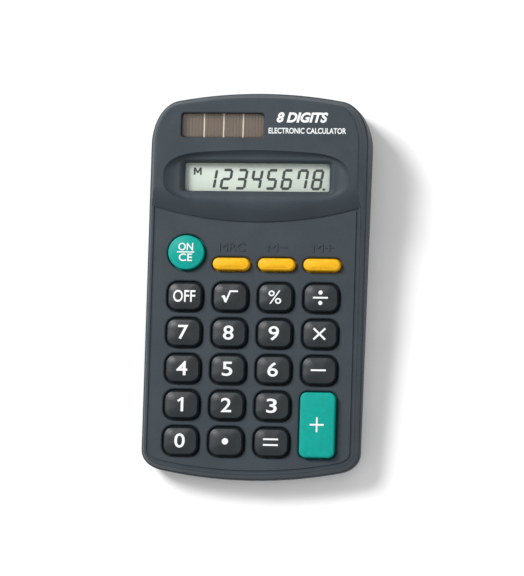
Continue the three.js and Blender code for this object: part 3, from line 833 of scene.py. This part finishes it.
def crown(bm, face, rise, steps=6):
    """Domes a flat top with smaller and higher rings."""
    middle = face.calc_center_bounds()
    size, height = 1.0, 0.0
    for step in range(1, steps + 1):
        next_size = 1 - step / (steps + 0.7)
        next_height = rise * (1 - next_size**2.4)
        face = lift(bm, face, next_height - height)
        shrink = next_size / size
        bmesh.ops.scale(
            bm, vec=(shrink, shrink, 1), verts=face.verts, space=Matrix.Translation(-middle),
        )
        size, height = next_size, next_height
    return face


cap_shapes = {
    # kind: (shoulder starts below the top, shoulder inset, edge radius, dome)
    "black": (1.75, 0.42, 0.34, 0.42),
    "tall": (0.75, 0.06, 0.42, 0.08),
    "round": (0.75, 0.1, 0.5, 0.16),
    "memory": (1.0, 0.1, 0.55, 0.2),
}


def key_cap(name):
    """The moulding of one key, drawn flat."""
    centre, half = keys[name]
    corner = key_corner(name)
    below, shoulder, edge, dome = cap_shapes[key_kind(name)]
    wide = (half[0] + flange, half[1] + flange)
    bm, face = soft_box(wide, (corner[0] + flange, corner[1] + flange), centre, flange_low, 10)
    face = lift(bm, face, flange_thick)
    slope(bm, face, flange + side_gap, 0)
    start = key_top - below
    face = lift(bm, face, start - flange_low - flange_thick)
    rise = below - edge - dome
    slope(bm, face, shoulder, rise)
    round_over(bm, face, edge, 5, start=math.degrees(math.atan2(shoulder, rise)))
    level = face.calc_center_median().z
    crown(bm, face, key_top - 0.01 - level)
    return to_object(bm, name + "_cap")


caps = {name: key_cap(name) for name in keys}
print(len(caps), "caps")

# %% [markdown]
# The legends are moulded or printed in white. Blender's own plain typeface, made a little heavier by the
# curve's offset, serves for figures and words, and each word is scaled to an exact width and height. The
# signs are drawn from bars and dots. Every mark is a thin closed slab that stands in its cap.

# %% Letters, bars and dots


def lettering(text, width, height, centre, low, high, weight=0.03, lean=0.0):
    """Letters as closed slabs from low to high, fitted to a width and height about a centre."""
    writing = bpy.data.curves.new("lettering", "FONT")
    writing.body = text
    writing.size = 1
    writing.offset = weight
    writing.shear = lean
    writing.resolution_u = 5
    writing.extrude = 0.5
    holder = bpy.data.objects.new("lettering", writing)
    mesh = bpy.data.meshes.new_from_object(holder)
    bpy.data.objects.remove(holder)
    bpy.data.curves.remove(writing)
    spots = [vertex.co for vertex in mesh.vertices]
    low_x, high_x = min(spot.x for spot in spots), max(spot.x for spot in spots)
    low_y, high_y = min(spot.y for spot in spots), max(spot.y for spot in spots)
    middle = Vector(((low_x + high_x) / 2, (low_y + high_y) / 2, 0))
    size = Matrix.Diagonal((width / (high_x - low_x), height / (high_y - low_y), high - low, 1))
    place = Matrix.Translation((centre[0], centre[1], (low + high) / 2))
    mesh.transform(place @ size @ Matrix.Translation(-middle))
    return mesh


def turn_over(bm, angle):
    """Turns a bmesh about the upright axis."""
    spin = Matrix.Rotation(angle, 3, "Z")
    bmesh.ops.rotate(bm, verts=bm.verts, cent=(0, 0, 0), matrix=spin)


def bar(start, end, width, low, high):
    """A straight bar between two places."""
    bm = bmesh.new()
    run = Vector(end) - Vector(start)
    bmesh.ops.create_cube(bm, size=1)
    bmesh.ops.scale(bm, verts=bm.verts, vec=(run.length, width, high - low))
    turn_over(bm, math.atan2(run.y, run.x))
    middle = (Vector(start) + Vector(end)) / 2
    bmesh.ops.translate(bm, verts=bm.verts, vec=(*middle, (low + high) / 2))
    return slab_mesh(bm)


def dot(centre, radius, low, high):
    """A round dot."""
    bm = bmesh.new()
    bmesh.ops.create_cone(
        bm, cap_ends=True, segments=28, radius1=radius, radius2=radius, depth=high - low,
    )
    bmesh.ops.translate(bm, verts=bm.verts, vec=(*centre, (low + high) / 2))
    return slab_mesh(bm)


def slab_mesh(bm):
    mesh = bpy.data.meshes.new("mark")
    bm.to_mesh(mesh)
    bm.free()
    return mesh


def print_on(piece, marks, slot_number=1):
    """Joins marks into a piece, with the material in the given slot."""
    bm = bmesh.new()
    bm.from_mesh(piece.data)
    for mark in marks:
        before = len(bm.faces)
        bm.from_mesh(mark)
        bm.faces.ensure_lookup_table()
        for face in bm.faces[before:]:
            face.material_index = slot_number
        bpy.data.meshes.remove(mark)
    bm.to_mesh(piece.data)
    bm.free()
    return piece


# %% [markdown]
# What stands on a key depends on its name. Figures and words are letters, and signs are bars and dots
# placed about the middle of the cap. Bars that cross are set at slightly different heights, because two
# faces in one plane would flicker.

# %% Legends
figure_sizes = {"4": 3.3, "7": 3.1}
sign_span = 2.25
sign_width = 0.52


def legend(name):
    """The marks on one key."""
    (x, y), half = keys[name]
    low, high = key_top - 0.35, key_top + 0.01
    what = name[4:]

    def line(from_x, from_y, to_x, to_y, width=sign_width):
        return bar((x + from_x, y + from_y), (x + to_x, y + to_y), width, low, high)

    if what == "1":
        return [line(0.4, -2.1, 0.4, 2.1, 0.78), line(0.45, 1.85, -0.95, 0.95, 0.6)]
    if what.isdigit():
        width = figure_sizes.get(what, 3.15)
        return [lettering(what, width, 4.25, (x, y), low, high, 0.01)]
    if what == "off":
        return [lettering("OFF", 6.7, 3.6, (x, y), low, high, 0.012)]
    if what == "percent":
        return [lettering("%", 3.9, 4.0, (x, y), low, high, 0.0)]
    if what == "square_root":
        return [
            line(-2.3, -0.15, -1.7, 0.2, 0.5), line(-1.8, 0.25, -1.1, -1.6, 0.75),
            line(-1.15, -1.75, 0.25, 1.75, 0.5), line(0.05, 1.6, 2.5, 1.6, 0.5),
        ]
    if what == "point":
        return [dot((x, y), 0.95, low, high)]
    if what == "equals":
        return [line(-sign_span, 0.85, sign_span, 0.85), line(-sign_span, -0.85, sign_span, -0.85)]
    if what == "minus":
        return [line(-sign_span, 0, sign_span, 0)]
    if what == "divide":
        dots = [dot((x, y + 1.55), 0.62, low, high), dot((x, y - 1.55), 0.62, low, high)]
        return [line(-sign_span, 0, sign_span, 0)] + dots
    if what == "multiply":
        return [line(-1.75, -1.65, 1.75, 1.65, 0.58), line(-1.75, 1.65, 1.75, -1.65, 0.58)]
    if what == "plus":
        return [line(-2.1, 0, 2.1, 0, 0.5), line(0, -2.2, 0, 2.2, 0.5)]
    if what == "on_clear":
        return [
            lettering("ON", 4.5, 2.3, (x, y + 1.6), low, high, 0.012),
            line(-2.6, 0, 2.6, 0, 0.34),
            lettering("CE", 4.1, 2.3, (x, y - 1.6), low, high, 0.012),
        ]
    return []


def stagger(marks):
    """Lowers each mark a hair below the one before it, so that crossing bars never share a plane."""
    for index, mark in enumerate(marks):
        mark.transform(Matrix.Translation((0, 0, -0.004 * index)))
    return marks


kind_finish = {
    "black": black_finish, "tall": teal_finish, "round": teal_finish, "memory": yellow_finish,
}
for name, cap in caps.items():
    kind = key_kind(name)
    print_on(cap, stagger(legend(name)))
    complete(cap, name, [kind_finish[kind], white_ink], [name])

# %% [markdown]
# Two lines of white print stand on the deck, and the names of the memory keys are raised from the shell
# in its own plastic, so that they show only by their edges.

# %% Lettering on the shell
print_low, print_high = deck_top - 0.1, deck_top - 0.005
deck_print = to_object(bmesh.new(), "deck_print")
print_on(deck_print, [
    lettering("8 DIGITS", 15.5, 3.1, (13.6, 50.13), print_low, print_high + 0.02, 0.04, 0.25),
    lettering("ELECTRONIC CALCULATOR", 23.4, 1.75, (15.2, 46.13), print_low, print_high + 0.02, 0.02),
], 0)
complete(deck_print, "case", [white_ink])
memory_names = to_object(bmesh.new(), "memory_names")
memory_level = keys["key_memory_plus"][0][1] + 5.2
print_on(memory_names, [
    lettering("MRC", 8.0, 2.6, (keys["key_memory_recall"][0][0], memory_level), 4.9, 5.2, 0.0),
    lettering("M\u2212", 6.2, 2.6, (keys["key_memory_minus"][0][0], memory_level), 4.9, 5.2, 0.0),
    lettering("M+", 6.2, 2.6, (keys["key_memory_plus"][0][0], memory_level), 4.9, 5.2, 0.0),
], 0)
complete(memory_names, "case", [shell_finish])

# %% [markdown]
# The display is a sandwich of two glasses. What shows is a pale grey-green field, brighter where the
# reflector behind it is even, and dark segments. A segment is a six-sided slab, and seven of them in the
# right places make any figure. The figures lean a little, which is done to all of them with one shear.

# %% Display glass
lcd_finish, tree, shader, place = new_finish("display_glass", 0.28, IOR=1.5)
cloud = noise(tree, place, 60, 3)
sparkle = noise(tree, place, 5000, 2)
field = blend_colours(tree, spread(tree, cloud, 0, 1), colour(196, 207, 196), colour(208, 217, 206))
dusty = darken_by(tree, field, spread(tree, sparkle, 0.95, 1.02))
tree.links.new(dusty, shader.inputs["Base Color"])
bump(tree, shader, sparkle, 0.1, 0.00002)

lcd_low, lcd_high = flat_box("lcd_panel")
display = block(lcd_low, lcd_high, "display_glass")
soften = bmesh.new()
soften.from_mesh(display.data)
bmesh.ops.bevel(
    soften, geom=soften.edges[:], offset=0.12, segments=2, profile=0.5, affect="EDGES", material=-1,
)
soften.to_mesh(display.data)
soften.free()

digit_size = (3.3, 6.3)
digit_pitch = 4.6
first_digit = -14.2
digit_middle = window_at - 0.5
segment_width = 0.8
digit_lean = math.tan(math.radians(9))
lit = {
    "1": "bc", "2": "abged", "3": "abgcd", "4": "fgbc", "5": "afgcd", "6": "afgedc", "7": "fabc",
    "8": "abcdefg",
}


def segment(centre, length, upright):
    """One six-sided segment of the display."""
    bm = bmesh.new()
    bmesh.ops.create_cone(bm, cap_ends=True, segments=6, radius1=0.5, radius2=0.5, depth=1)
    turn_over(bm, math.pi / 6)
    bmesh.ops.scale(bm, verts=bm.verts, vec=(segment_width, segment_width * 1.15, 0.04))
    half_run = (length - segment_width) / 2
    right = [vert for vert in bm.verts if vert.co.x > 0]
    left = [vert for vert in bm.verts if vert.co.x < 0]
    bmesh.ops.translate(bm, verts=right, vec=(half_run, 0, 0))
    bmesh.ops.translate(bm, verts=left, vec=(-half_run, 0, 0))
    if upright:
        turn_over(bm, math.pi / 2)
    bmesh.ops.translate(bm, verts=bm.verts, vec=(*centre, lcd_high.z + 0.02))
    return slab_mesh(bm)


across, along = digit_size[0] / 2 - segment_width / 2, digit_size[1] / 2 - segment_width / 2
segment_places = {
    "a": ((0, along), False), "d": ((0, -along), False), "g": ((0, 0), False),
    "b": ((across, along / 2), True), "c": ((across, -along / 2), True),
    "f": ((-across, along / 2), True), "e": ((-across, -along / 2), True),
}
lean_over = Matrix(((1, digit_lean, 0, 0), (0, 1, 0, 0), (0, 0, 1, 0), (0, 0, 0, 1)))
marks = []
for index, figure in enumerate("12345678"):
    for part in lit[figure]:
        (x, y), upright = segment_places[part]
        mark = segment((x, y), (along if upright else 2 * across) - 0.12, upright)
        place_at = Matrix.Translation((first_digit + index * digit_pitch, digit_middle, 0))
        mark.transform(place_at @ lean_over)
        marks.append(mark)
point_place = (first_digit + 7 * digit_pitch + 2.0, digit_middle - digit_size[1] / 2 + 0.25)
marks.append(dot(point_place, 0.4, lcd_high.z, lcd_high.z + 0.04))
m_place = (-18.4, digit_middle + 2.3)
m_strokes = [((-0.95, -1.1), (-0.95, 1.1)), ((0.95, -1.1), (0.95, 1.1))]
m_strokes += [((-0.85, 1.0), (0, -0.5)), ((0.85, 1.0), (0, -0.5))]
strokes = []
for start, end in m_strokes:
    start, end = Vector(start) + Vector(m_place), Vector(end) + Vector(m_place)
    strokes.append(bar(start, end, 0.5, lcd_high.z, lcd_high.z + 0.04))
marks += stagger(strokes)
print_on(display, marks)
complete(display, "case", [lcd_finish, lcd_ink], ["lcd_panel"])

# %% [markdown]
# Both windows are clear acrylic, almost invisible from the front, with a faint reflection. A pane with
# more alpha would lay a grey veil over the display, so its alpha is low. Fingerprints are a soft change
# in its roughness.

# %% Clear windows
clear_finish, tree, shader, place = new_finish("clear_acrylic", 0.08, Alpha=0.05, IOR=1.49)
smears = noise(tree, place, 180, 4)
tree.links.new(spread(tree, smears, 0.05, 0.16), shader.inputs["Roughness"])
tint = blend_colours(tree, spread(tree, smears, 0, 1), colour(200, 212, 208), colour(214, 224, 220))
tree.links.new(tint, shader.inputs["Base Color"])


def pane(node, name, corner):
    """A window pane with polished edges, in the place of its CAD plate."""
    low, high = flat_box(node)
    half = ((high.x - low.x) / 2, (high.y - low.y) / 2)
    centre = ((high.x + low.x) / 2, (high.y + low.y) / 2)
    bm, face = soft_box(half, (corner, corner), centre, low.z, 5)
    face = lift(bm, face, high.z - low.z - 0.12)
    round_over(bm, face, 0.12, 2)
    return complete(to_object(bm, name), "case", [clear_finish], [node])


pane("display_window", "display_lens", 0.8)
pane("solar_window", "solar_pane", 1.0)

# %% [markdown]
# The solar cell is a brown amorphous layer on glass, parted into four cells by pale lines. Such a layer
# has a fine vertical banding and a slight sheen. The four fields stand a hair above the pale plate, so
# the lines are real gaps.

# %% Solar cell
pale_finish = ink_finish("solar_lines", colour(232, 218, 196), 0.45)
solar_finish, tree, shader, place = new_finish("amorphous_silicon", 0.3, Specular_IOR_Level=0.3)
bands = add(tree, "ShaderNodeTexWave", {"Scale": 330.0, "Distortion": 1.5, "Detail": 2.0})
tree.links.new(place, bands.inputs["Vector"])
layer = noise(tree, place, 350, 3)
banding = add(tree, "ShaderNodeMath", operation="MULTIPLY")
tree.links.new(bands.outputs["Fac"], banding.inputs[0])
tree.links.new(layer, banding.inputs[1])
brown = blend_colours(tree, banding.outputs["Value"], colour(84, 64, 50), colour(112, 88, 72))
tree.links.new(brown, shader.inputs["Base Color"])
bump(tree, shader, layer, 0.1, 0.00003)

solar_cell = block(cell_low, cell_high - Vector((0, 0, 0.1)), "solar_plate")
cell_width = 23.6
field_marks = []
for index in range(4):
    left = solar_at[0] - cell_width / 2 + index * cell_width / 4
    first = -2 if index == 0 else 0.22
    last = 2 if index == 3 else -0.22
    field_block = block(
        (left + first, cell_low.y + 0.1, cell_high.z - 0.2),
        (left + cell_width / 4 + last, cell_high.y - 0.1, cell_high.z),
    )
    field_marks.append(field_block.data.copy())
    bpy.data.objects.remove(field_block)
print_on(solar_cell, field_marks)
complete(solar_cell, "case", [pale_finish, solar_finish], ["solar_cell"])

# %% [markdown]
# The rear shell is a tray whose underside lies level while the seam above it leans, so it is drawn with
# a constant depth and then sheared. Its walls draw in a little on the way down, as a moulding's must,
# and its lower edge is rounded.

# %% Rear shell
low_depth = 3.6
rear_radius = 1.8
draft_from = 4
draft = 0.4
floor_wall = 1.4
side_wall = 1.8
seam_gap = 0.3
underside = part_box("rear_shell")[0].z * 1000


def tray(inset, rise, radius, name):
    """The tray's outer or inner form, with its rounded lower edge and its level underside."""
    bm, face = case_face(inset, 15)
    bmesh.ops.reverse_faces(bm, faces=[face])
    face.normal_update()
    face = lift(bm, face, 15 - draft_from)
    slope(bm, face, draft, draft_from + low_depth - rise - radius)
    round_over(bm, face, radius, 8)
    fall = Matrix.Identity(4)
    fall[2][1] = -math.tan(tilt)
    fall[2][3] = -half_length * math.tan(tilt)
    bmesh.ops.transform(bm, matrix=fall, verts=bm.verts)
    return to_object(bm, name)


def level_block(low, high, name="tool"):
    """A block given in the frame's own millimetres, level with the table."""
    tool = block(low, high, name)
    tool.data.transform(back_to_flat)
    return tool


def duplicate(piece, name):
    """A second object with its own copy of the mesh."""
    twin = piece.copy()
    twin.data = piece.data.copy()
    twin.name = name
    bpy.context.scene.collection.objects.link(twin)
    return twin


above_seam = block((-60, -90, -seam_gap), (60, 90, 60))
rear_cover = carve(tray(0, 0, rear_radius, "rear_cover"), [above_seam])
door_blank = duplicate(rear_cover, "door")

door_box = [corner * 1000 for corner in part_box("battery_door")]
door_half = 27
rail_reach = 1.2
door_top = underside + 1.6
rail_middle = underside + 0.8
carve(rear_cover, [tray(side_wall, floor_wall, 1, "hollow")])


def door_space(grow):
    """The blocks that the door and its two rails fill, grown by a gap."""
    reach = (-door_half - grow, door_box[0].y - grow, underside - 20)
    plate = level_block(reach, (door_half + grow, 90, door_top + grow))
    rail_half = door_half + rail_reach + grow
    rail_start = door_box[0].y + 2 * rail_reach - grow
    rail_low = (-rail_half, rail_start, rail_middle - 0.3 - grow)
    rail = level_block(rail_low, (rail_half, 90, rail_middle + 0.3 + grow))
    return [plate, rail]


aa_low, aa_high = flat_box("aa_cell")
cell_middle = (aa_low.y + aa_high.y) / 2
inside = tray(side_wall - 0.2, 0.2, 1, "inside")


def rib(low, high):
    """A wall inside the tray, trimmed to its inner form."""
    return carve(block(low, high, "rib"), [duplicate(inside, "trim")], "INTERSECT")


bay_low = aa_low.y - 0.35
ribs = [rib((-60, bay_low - 1.2, -60), (60, bay_low, -2))]
for node, outward in (("positive_contact", 1), ("negative_contact", -1)):
    low, high = flat_box(node)
    near = high.x + 0.6 if outward > 0 else low.x - 1.8
    ribs.append(rib((near, bay_low, -60), (near + 1.2, cell_middle + 4.5, -0.8)))
carve(rear_cover, ribs, "UNION")
for index in range(1, 5):
    low, high, x, y = flat_middle(f"case_screw_{index}")
    boss = post(x, y, 2.7, -60, -seam_gap, "boss", 40)
    carve(boss, [duplicate(inside, "trim")], "INTERSECT")
    carve(rear_cover, [boss], "UNION")
    head_hole = post(x, y, 1.9, -60, low.z + 1.4, "head_hole", 40)
    carve(rear_cover, [head_hole, post(x, y, 1.2, -60, 20, "bore", 24)])
bpy.data.objects.remove(inside)
bay_half = 25.7
bay_end = (to_frame @ Vector((0, aa_high.y, 0))).y * 1000
bay_block = level_block((-bay_half, door_box[0].y + 0.6, underside - 20), (bay_half, bay_end, 4))
carve(rear_cover, [bay_block] + door_space(0.25))
for index in range(1, 5):
    low, high = [corner * 1000 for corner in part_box(f"foot_{index}")]
    seat = post(0, 0, 3.3, underside - 9, underside + 0.6, "foot_seat", 40)
    centre = (low + high) / 2
    seat.data.transform(back_to_flat @ Matrix.Translation((centre.x, centre.y, 0)))
    carve(rear_cover, [seat])
complete(rear_cover, "case", [shell_finish], ["rear_shell"], angle=28)

# %% [markdown]
# The battery door is the part of the same tray that its space cuts out, so its outside runs on from the
# shell's. It carries a row of grip ribs, made by cutting grooves between them, and an arrow that says
# which way it slides.

# %% Battery door
plate_space, rail_space = door_space(0.0)
door_plate = carve(door_blank, [carve(plate_space, [rail_space], "UNION")], "INTERSECT")
door_plate.name = "battery_cover"
door_far = door_box[1].y
for index in range(6):
    groove_at = door_far - 9.2 + index * 1.15
    groove = level_block((-9, groove_at, underside - 2), (9, groove_at + 0.6, underside + 0.35))
    carve(door_plate, [groove])
arrow = bmesh.new()
bmesh.ops.create_cone(arrow, cap_ends=True, segments=3, radius1=3, radius2=3, depth=4)
turn_over(arrow, math.pi)
arrow_tool = to_object(arrow, "arrow")
arrow_place = Matrix.Translation((0, door_far - 13.5, underside - 2 + 0.35))
arrow_tool.data.transform(back_to_flat @ arrow_place)
carve(door_plate, [arrow_tool])
complete(door_plate, "battery_door", [shell_finish], ["battery_door"], angle=28)

# %% [markdown]
# Four rubber feet are glued into shallow seats. Rubber is dull and slightly dusty, so its colour fades
# unevenly towards grey.

# %% Rubber feet and screws
rubber_finish, tree, shader, place = new_finish("black_rubber", 0.85)
powder = noise(tree, place, 900, 4)
rubber_tone = blend_colours(tree, spread(tree, powder, 0, 1), colour(26, 27, 29), colour(44, 45, 47))
tree.links.new(rubber_tone, shader.inputs["Base Color"])
bump(tree, shader, noise(tree, place, 4000, 2), 0.4, 0.00005)

steel_finish, tree, shader, place = new_finish("plated_steel", 0.32, metallic=1.0)
brushed = noise(tree, place, 2200, 4)
plate_tone = blend_colours(tree, spread(tree, brushed, 0, 1), colour(176, 178, 180), colour(206, 207, 206))
tree.links.new(plate_tone, shader.inputs["Base Color"])
tree.links.new(spread(tree, brushed, 0.24, 0.42), shader.inputs["Roughness"])
bump(tree, shader, brushed, 0.15, 0.00003)
for index in range(1, 5):
    low, high = [corner * 1000 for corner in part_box(f"foot_{index}")]
    centre = (low + high) / 2
    bm = bmesh.new()
    bmesh.ops.create_cone(
        bm, cap_ends=True, segments=40, radius1=3, radius2=3, depth=high.z - low.z - 0.02,
    )
    rim = [edge for edge in bm.edges if edge.verts[0].co.z < 0 and edge.verts[1].co.z < 0]
    bmesh.ops.bevel(
        bm, geom=rim, offset=0.3, segments=4, profile=0.5, affect="EDGES", material=-1,
    )
    foot = to_object(bm, f"rubber_foot_{index}")
    foot.data.transform(back_to_flat @ Matrix.Translation((centre.x, centre.y, (high.z - low.z) / 2)))
    complete(foot, "case", [rubber_finish], [f"foot_{index}"])

    low, high, x, y = flat_middle(f"case_screw_{index}")
    bm = bmesh.new()
    bmesh.ops.create_circle(bm, cap_ends=True, segments=32, radius=0.9)
    bmesh.ops.translate(bm, verts=bm.verts, vec=(x, y, high.z))
    face = bm.faces[:][0]
    face.normal_update()
    if face.normal.z > 0:
        bmesh.ops.reverse_faces(bm, faces=[face])
        face.normal_update()
    face = lift(bm, face, high.z - low.z - 1.1)
    slope(bm, face, -0.7, 0)
    face = lift(bm, face, 0.6)
    round_over(bm, face, 0.6, 5, height=0.5)
    screw = to_object(bm, f"cross_head_{index}")
    carve(screw, [
        block((x - 0.85, y - 0.16, low.z - 1), (x + 0.85, y + 0.16, low.z + 0.6)),
        block((x - 0.16, y - 0.85, low.z - 1), (x + 0.16, y + 0.85, low.z + 0.6)),
    ])
    complete(screw, "case", [steel_finish], [f"case_screw_{index}"])

# %% [markdown]
# The rest of the inside keeps its CAD shapes, because it shows only when the door is off, but nothing is
# left plain: the board has a green mask over copper, the cell has a printed jacket, and the mat, resin,
# wires and contacts each get their own finish.

# %% Finishes for the inside


def two_tone(name, first, second, scale, rough, metallic=0.0, relief=0.2):
    """A finish that drifts between two tones."""
    material, tree, shader, place = new_finish(name, rough, metallic)
    drift = noise(tree, place, scale, 4)
    tone = blend_colours(tree, spread(tree, drift, 0, 1), first, second)
    tree.links.new(tone, shader.inputs["Base Color"])
    tree.links.new(spread(tree, drift, rough - 0.07, rough + 0.07), shader.inputs["Roughness"])
    bump(tree, shader, drift, relief, 0.00004)
    return material


board_finish, tree, shader, place = new_finish("solder_mask", 0.35)
tracks = add(tree, "ShaderNodeTexBrick", {"Scale": 260.0, "Mortar Size": 0.03, "Bias": 0.2})
tracks.inputs["Color1"].default_value = colour(34, 96, 58)
tracks.inputs["Color2"].default_value = colour(46, 116, 70)
tracks.inputs["Mortar"].default_value = colour(24, 74, 46)
tree.links.new(place, tracks.inputs["Vector"])
tree.links.new(tracks.outputs["Color"], shader.inputs["Base Color"])
bump(tree, shader, tracks.outputs["Fac"], 0.3, 0.00004)

jacket_finish, tree, shader, place = new_finish("cell_jacket", 0.3, Coat_Weight=0.4)
parts = add(tree, "ShaderNodeSeparateXYZ")
tree.links.new(place, parts.inputs["Vector"])
band = add(tree, "ShaderNodeMapRange", {"From Min": -0.0252, "From Max": 0.0252})
tree.links.new(parts.outputs["X"], band.inputs["Value"])
print_bands = add(tree, "ShaderNodeValToRGB")
print_bands.color_ramp.interpolation = "CONSTANT"
stops = [(0.0, colour(176, 178, 180)), (0.03, colour(40, 92, 156)), (0.7, colour(228, 230, 232))]
stops += [(0.74, colour(206, 152, 40)), (0.965, colour(176, 178, 180))]
print_bands.color_ramp.elements[0].position = 0
print_bands.color_ramp.elements[0].color = stops[0][1]
print_bands.color_ramp.elements[1].position = stops[1][0]
print_bands.color_ramp.elements[1].color = stops[1][1]
for position, tone in stops[2:]:
    print_bands.color_ramp.elements.new(position).color = tone
tree.links.new(band.outputs["Result"], print_bands.inputs["Fac"])
scuffs = noise(tree, place, 1400, 4)
scuffed = darken_by(tree, print_bands.outputs["Color"], spread(tree, scuffs, 0.9, 1.02))
tree.links.new(scuffed, shader.inputs["Base Color"])
tree.links.new(spread(tree, scuffs, 0.24, 0.4), shader.inputs["Roughness"])

mat_finish = two_tone("keypad_silicone", colour(66, 68, 72), colour(80, 82, 86), 600, 0.7)
resin_finish = two_tone("chip_resin", colour(16, 16, 17), colour(28, 28, 30), 800, 0.3)
sleeve_finish = two_tone("capacitor_sleeve", colour(20, 24, 40), colour(32, 36, 54), 500, 0.35)
red_finish = two_tone("red_insulation", colour(150, 24, 18), colour(184, 38, 28), 900, 0.45)
wire_finish = two_tone("black_insulation", colour(18, 18, 19), colour(36, 36, 38), 900, 0.45)
inside_finishes = {
    "circuit_board": board_finish, "keypad_mat": mat_finish, "contact_strip": rubber_finish,
    "chip_resin": resin_finish, "capacitor": sleeve_finish, "aa_cell": jacket_finish,
    "positive_contact": steel_finish, "negative_contact": steel_finish,
    "negative_spring": steel_finish, "battery_wire_plus": red_finish,
    "battery_wire_minus": wire_finish, "solar_wire_1": wire_finish, "solar_wire_2": red_finish,
}
for index in range(1, 5):
    inside_finishes[f"board_screw_{index}"] = steel_finish
for node, finish in inside_finishes.items():
    nodes[node].data.materials.clear()
    nodes[node].data.materials.append(finish)
print(len(inside_finishes), "inner parts finished")

# %% [markdown]
# The set is a pale table top under soft studio light: a large key light from the upper left, which
# leaves a soft shadow at the lower right, a weaker fill from the right, and a light sky that keeps the
# shadows open.

# %% Table, lights and sky
table_finish, tree, shader, place = new_finish("table_paint", 0.8)
paint = noise(tree, place, 40, 3)
table_tone = blend_colours(tree, spread(tree, paint, 0, 1), colour(244, 244, 244), colour(250, 250, 250))
tree.links.new(table_tone, shader.inputs["Base Color"])
bm = bmesh.new()
bmesh.ops.create_grid(bm, x_segments=1, y_segments=1, size=3)
table_mesh = bpy.data.meshes.new("table_top")
bm.to_mesh(table_mesh)
bm.free()
table_mesh.materials.append(table_finish)
table_top = bpy.data.objects.new("table_top", table_mesh)
bpy.context.scene.collection.objects.link(table_top)


def soft_light(name, place, size, power, warmth=(1, 1, 1)):
    """A square area light that looks at the calculator."""
    data = bpy.data.lights.new(name, "AREA")
    data.energy = power
    data.size = size
    data.color = warmth
    light = bpy.data.objects.new(name, data)
    aim_at = (-Vector(place)).to_track_quat("-Z", "Y").to_matrix().to_4x4()
    light.matrix_world = Matrix.Translation(place) @ aim_at
    bpy.context.scene.collection.objects.link(light)
    print(name, power, "W")


soft_light("key_light", (-0.75, 0.55, 0.85), 0.45, 16)
soft_light("fill_light", (0.9, -0.5, 1.0), 1.2, 4)
sky = bpy.data.worlds.new("studio_sky")
sky.use_nodes = True
sky.node_tree.nodes["Background"].inputs["Color"].default_value = (1, 1, 1, 1)
sky.node_tree.nodes["Background"].inputs["Strength"].default_value = 0.55
bpy.context.scene.world = sky
bpy.context.scene.view_settings.view_transform = "Standard"
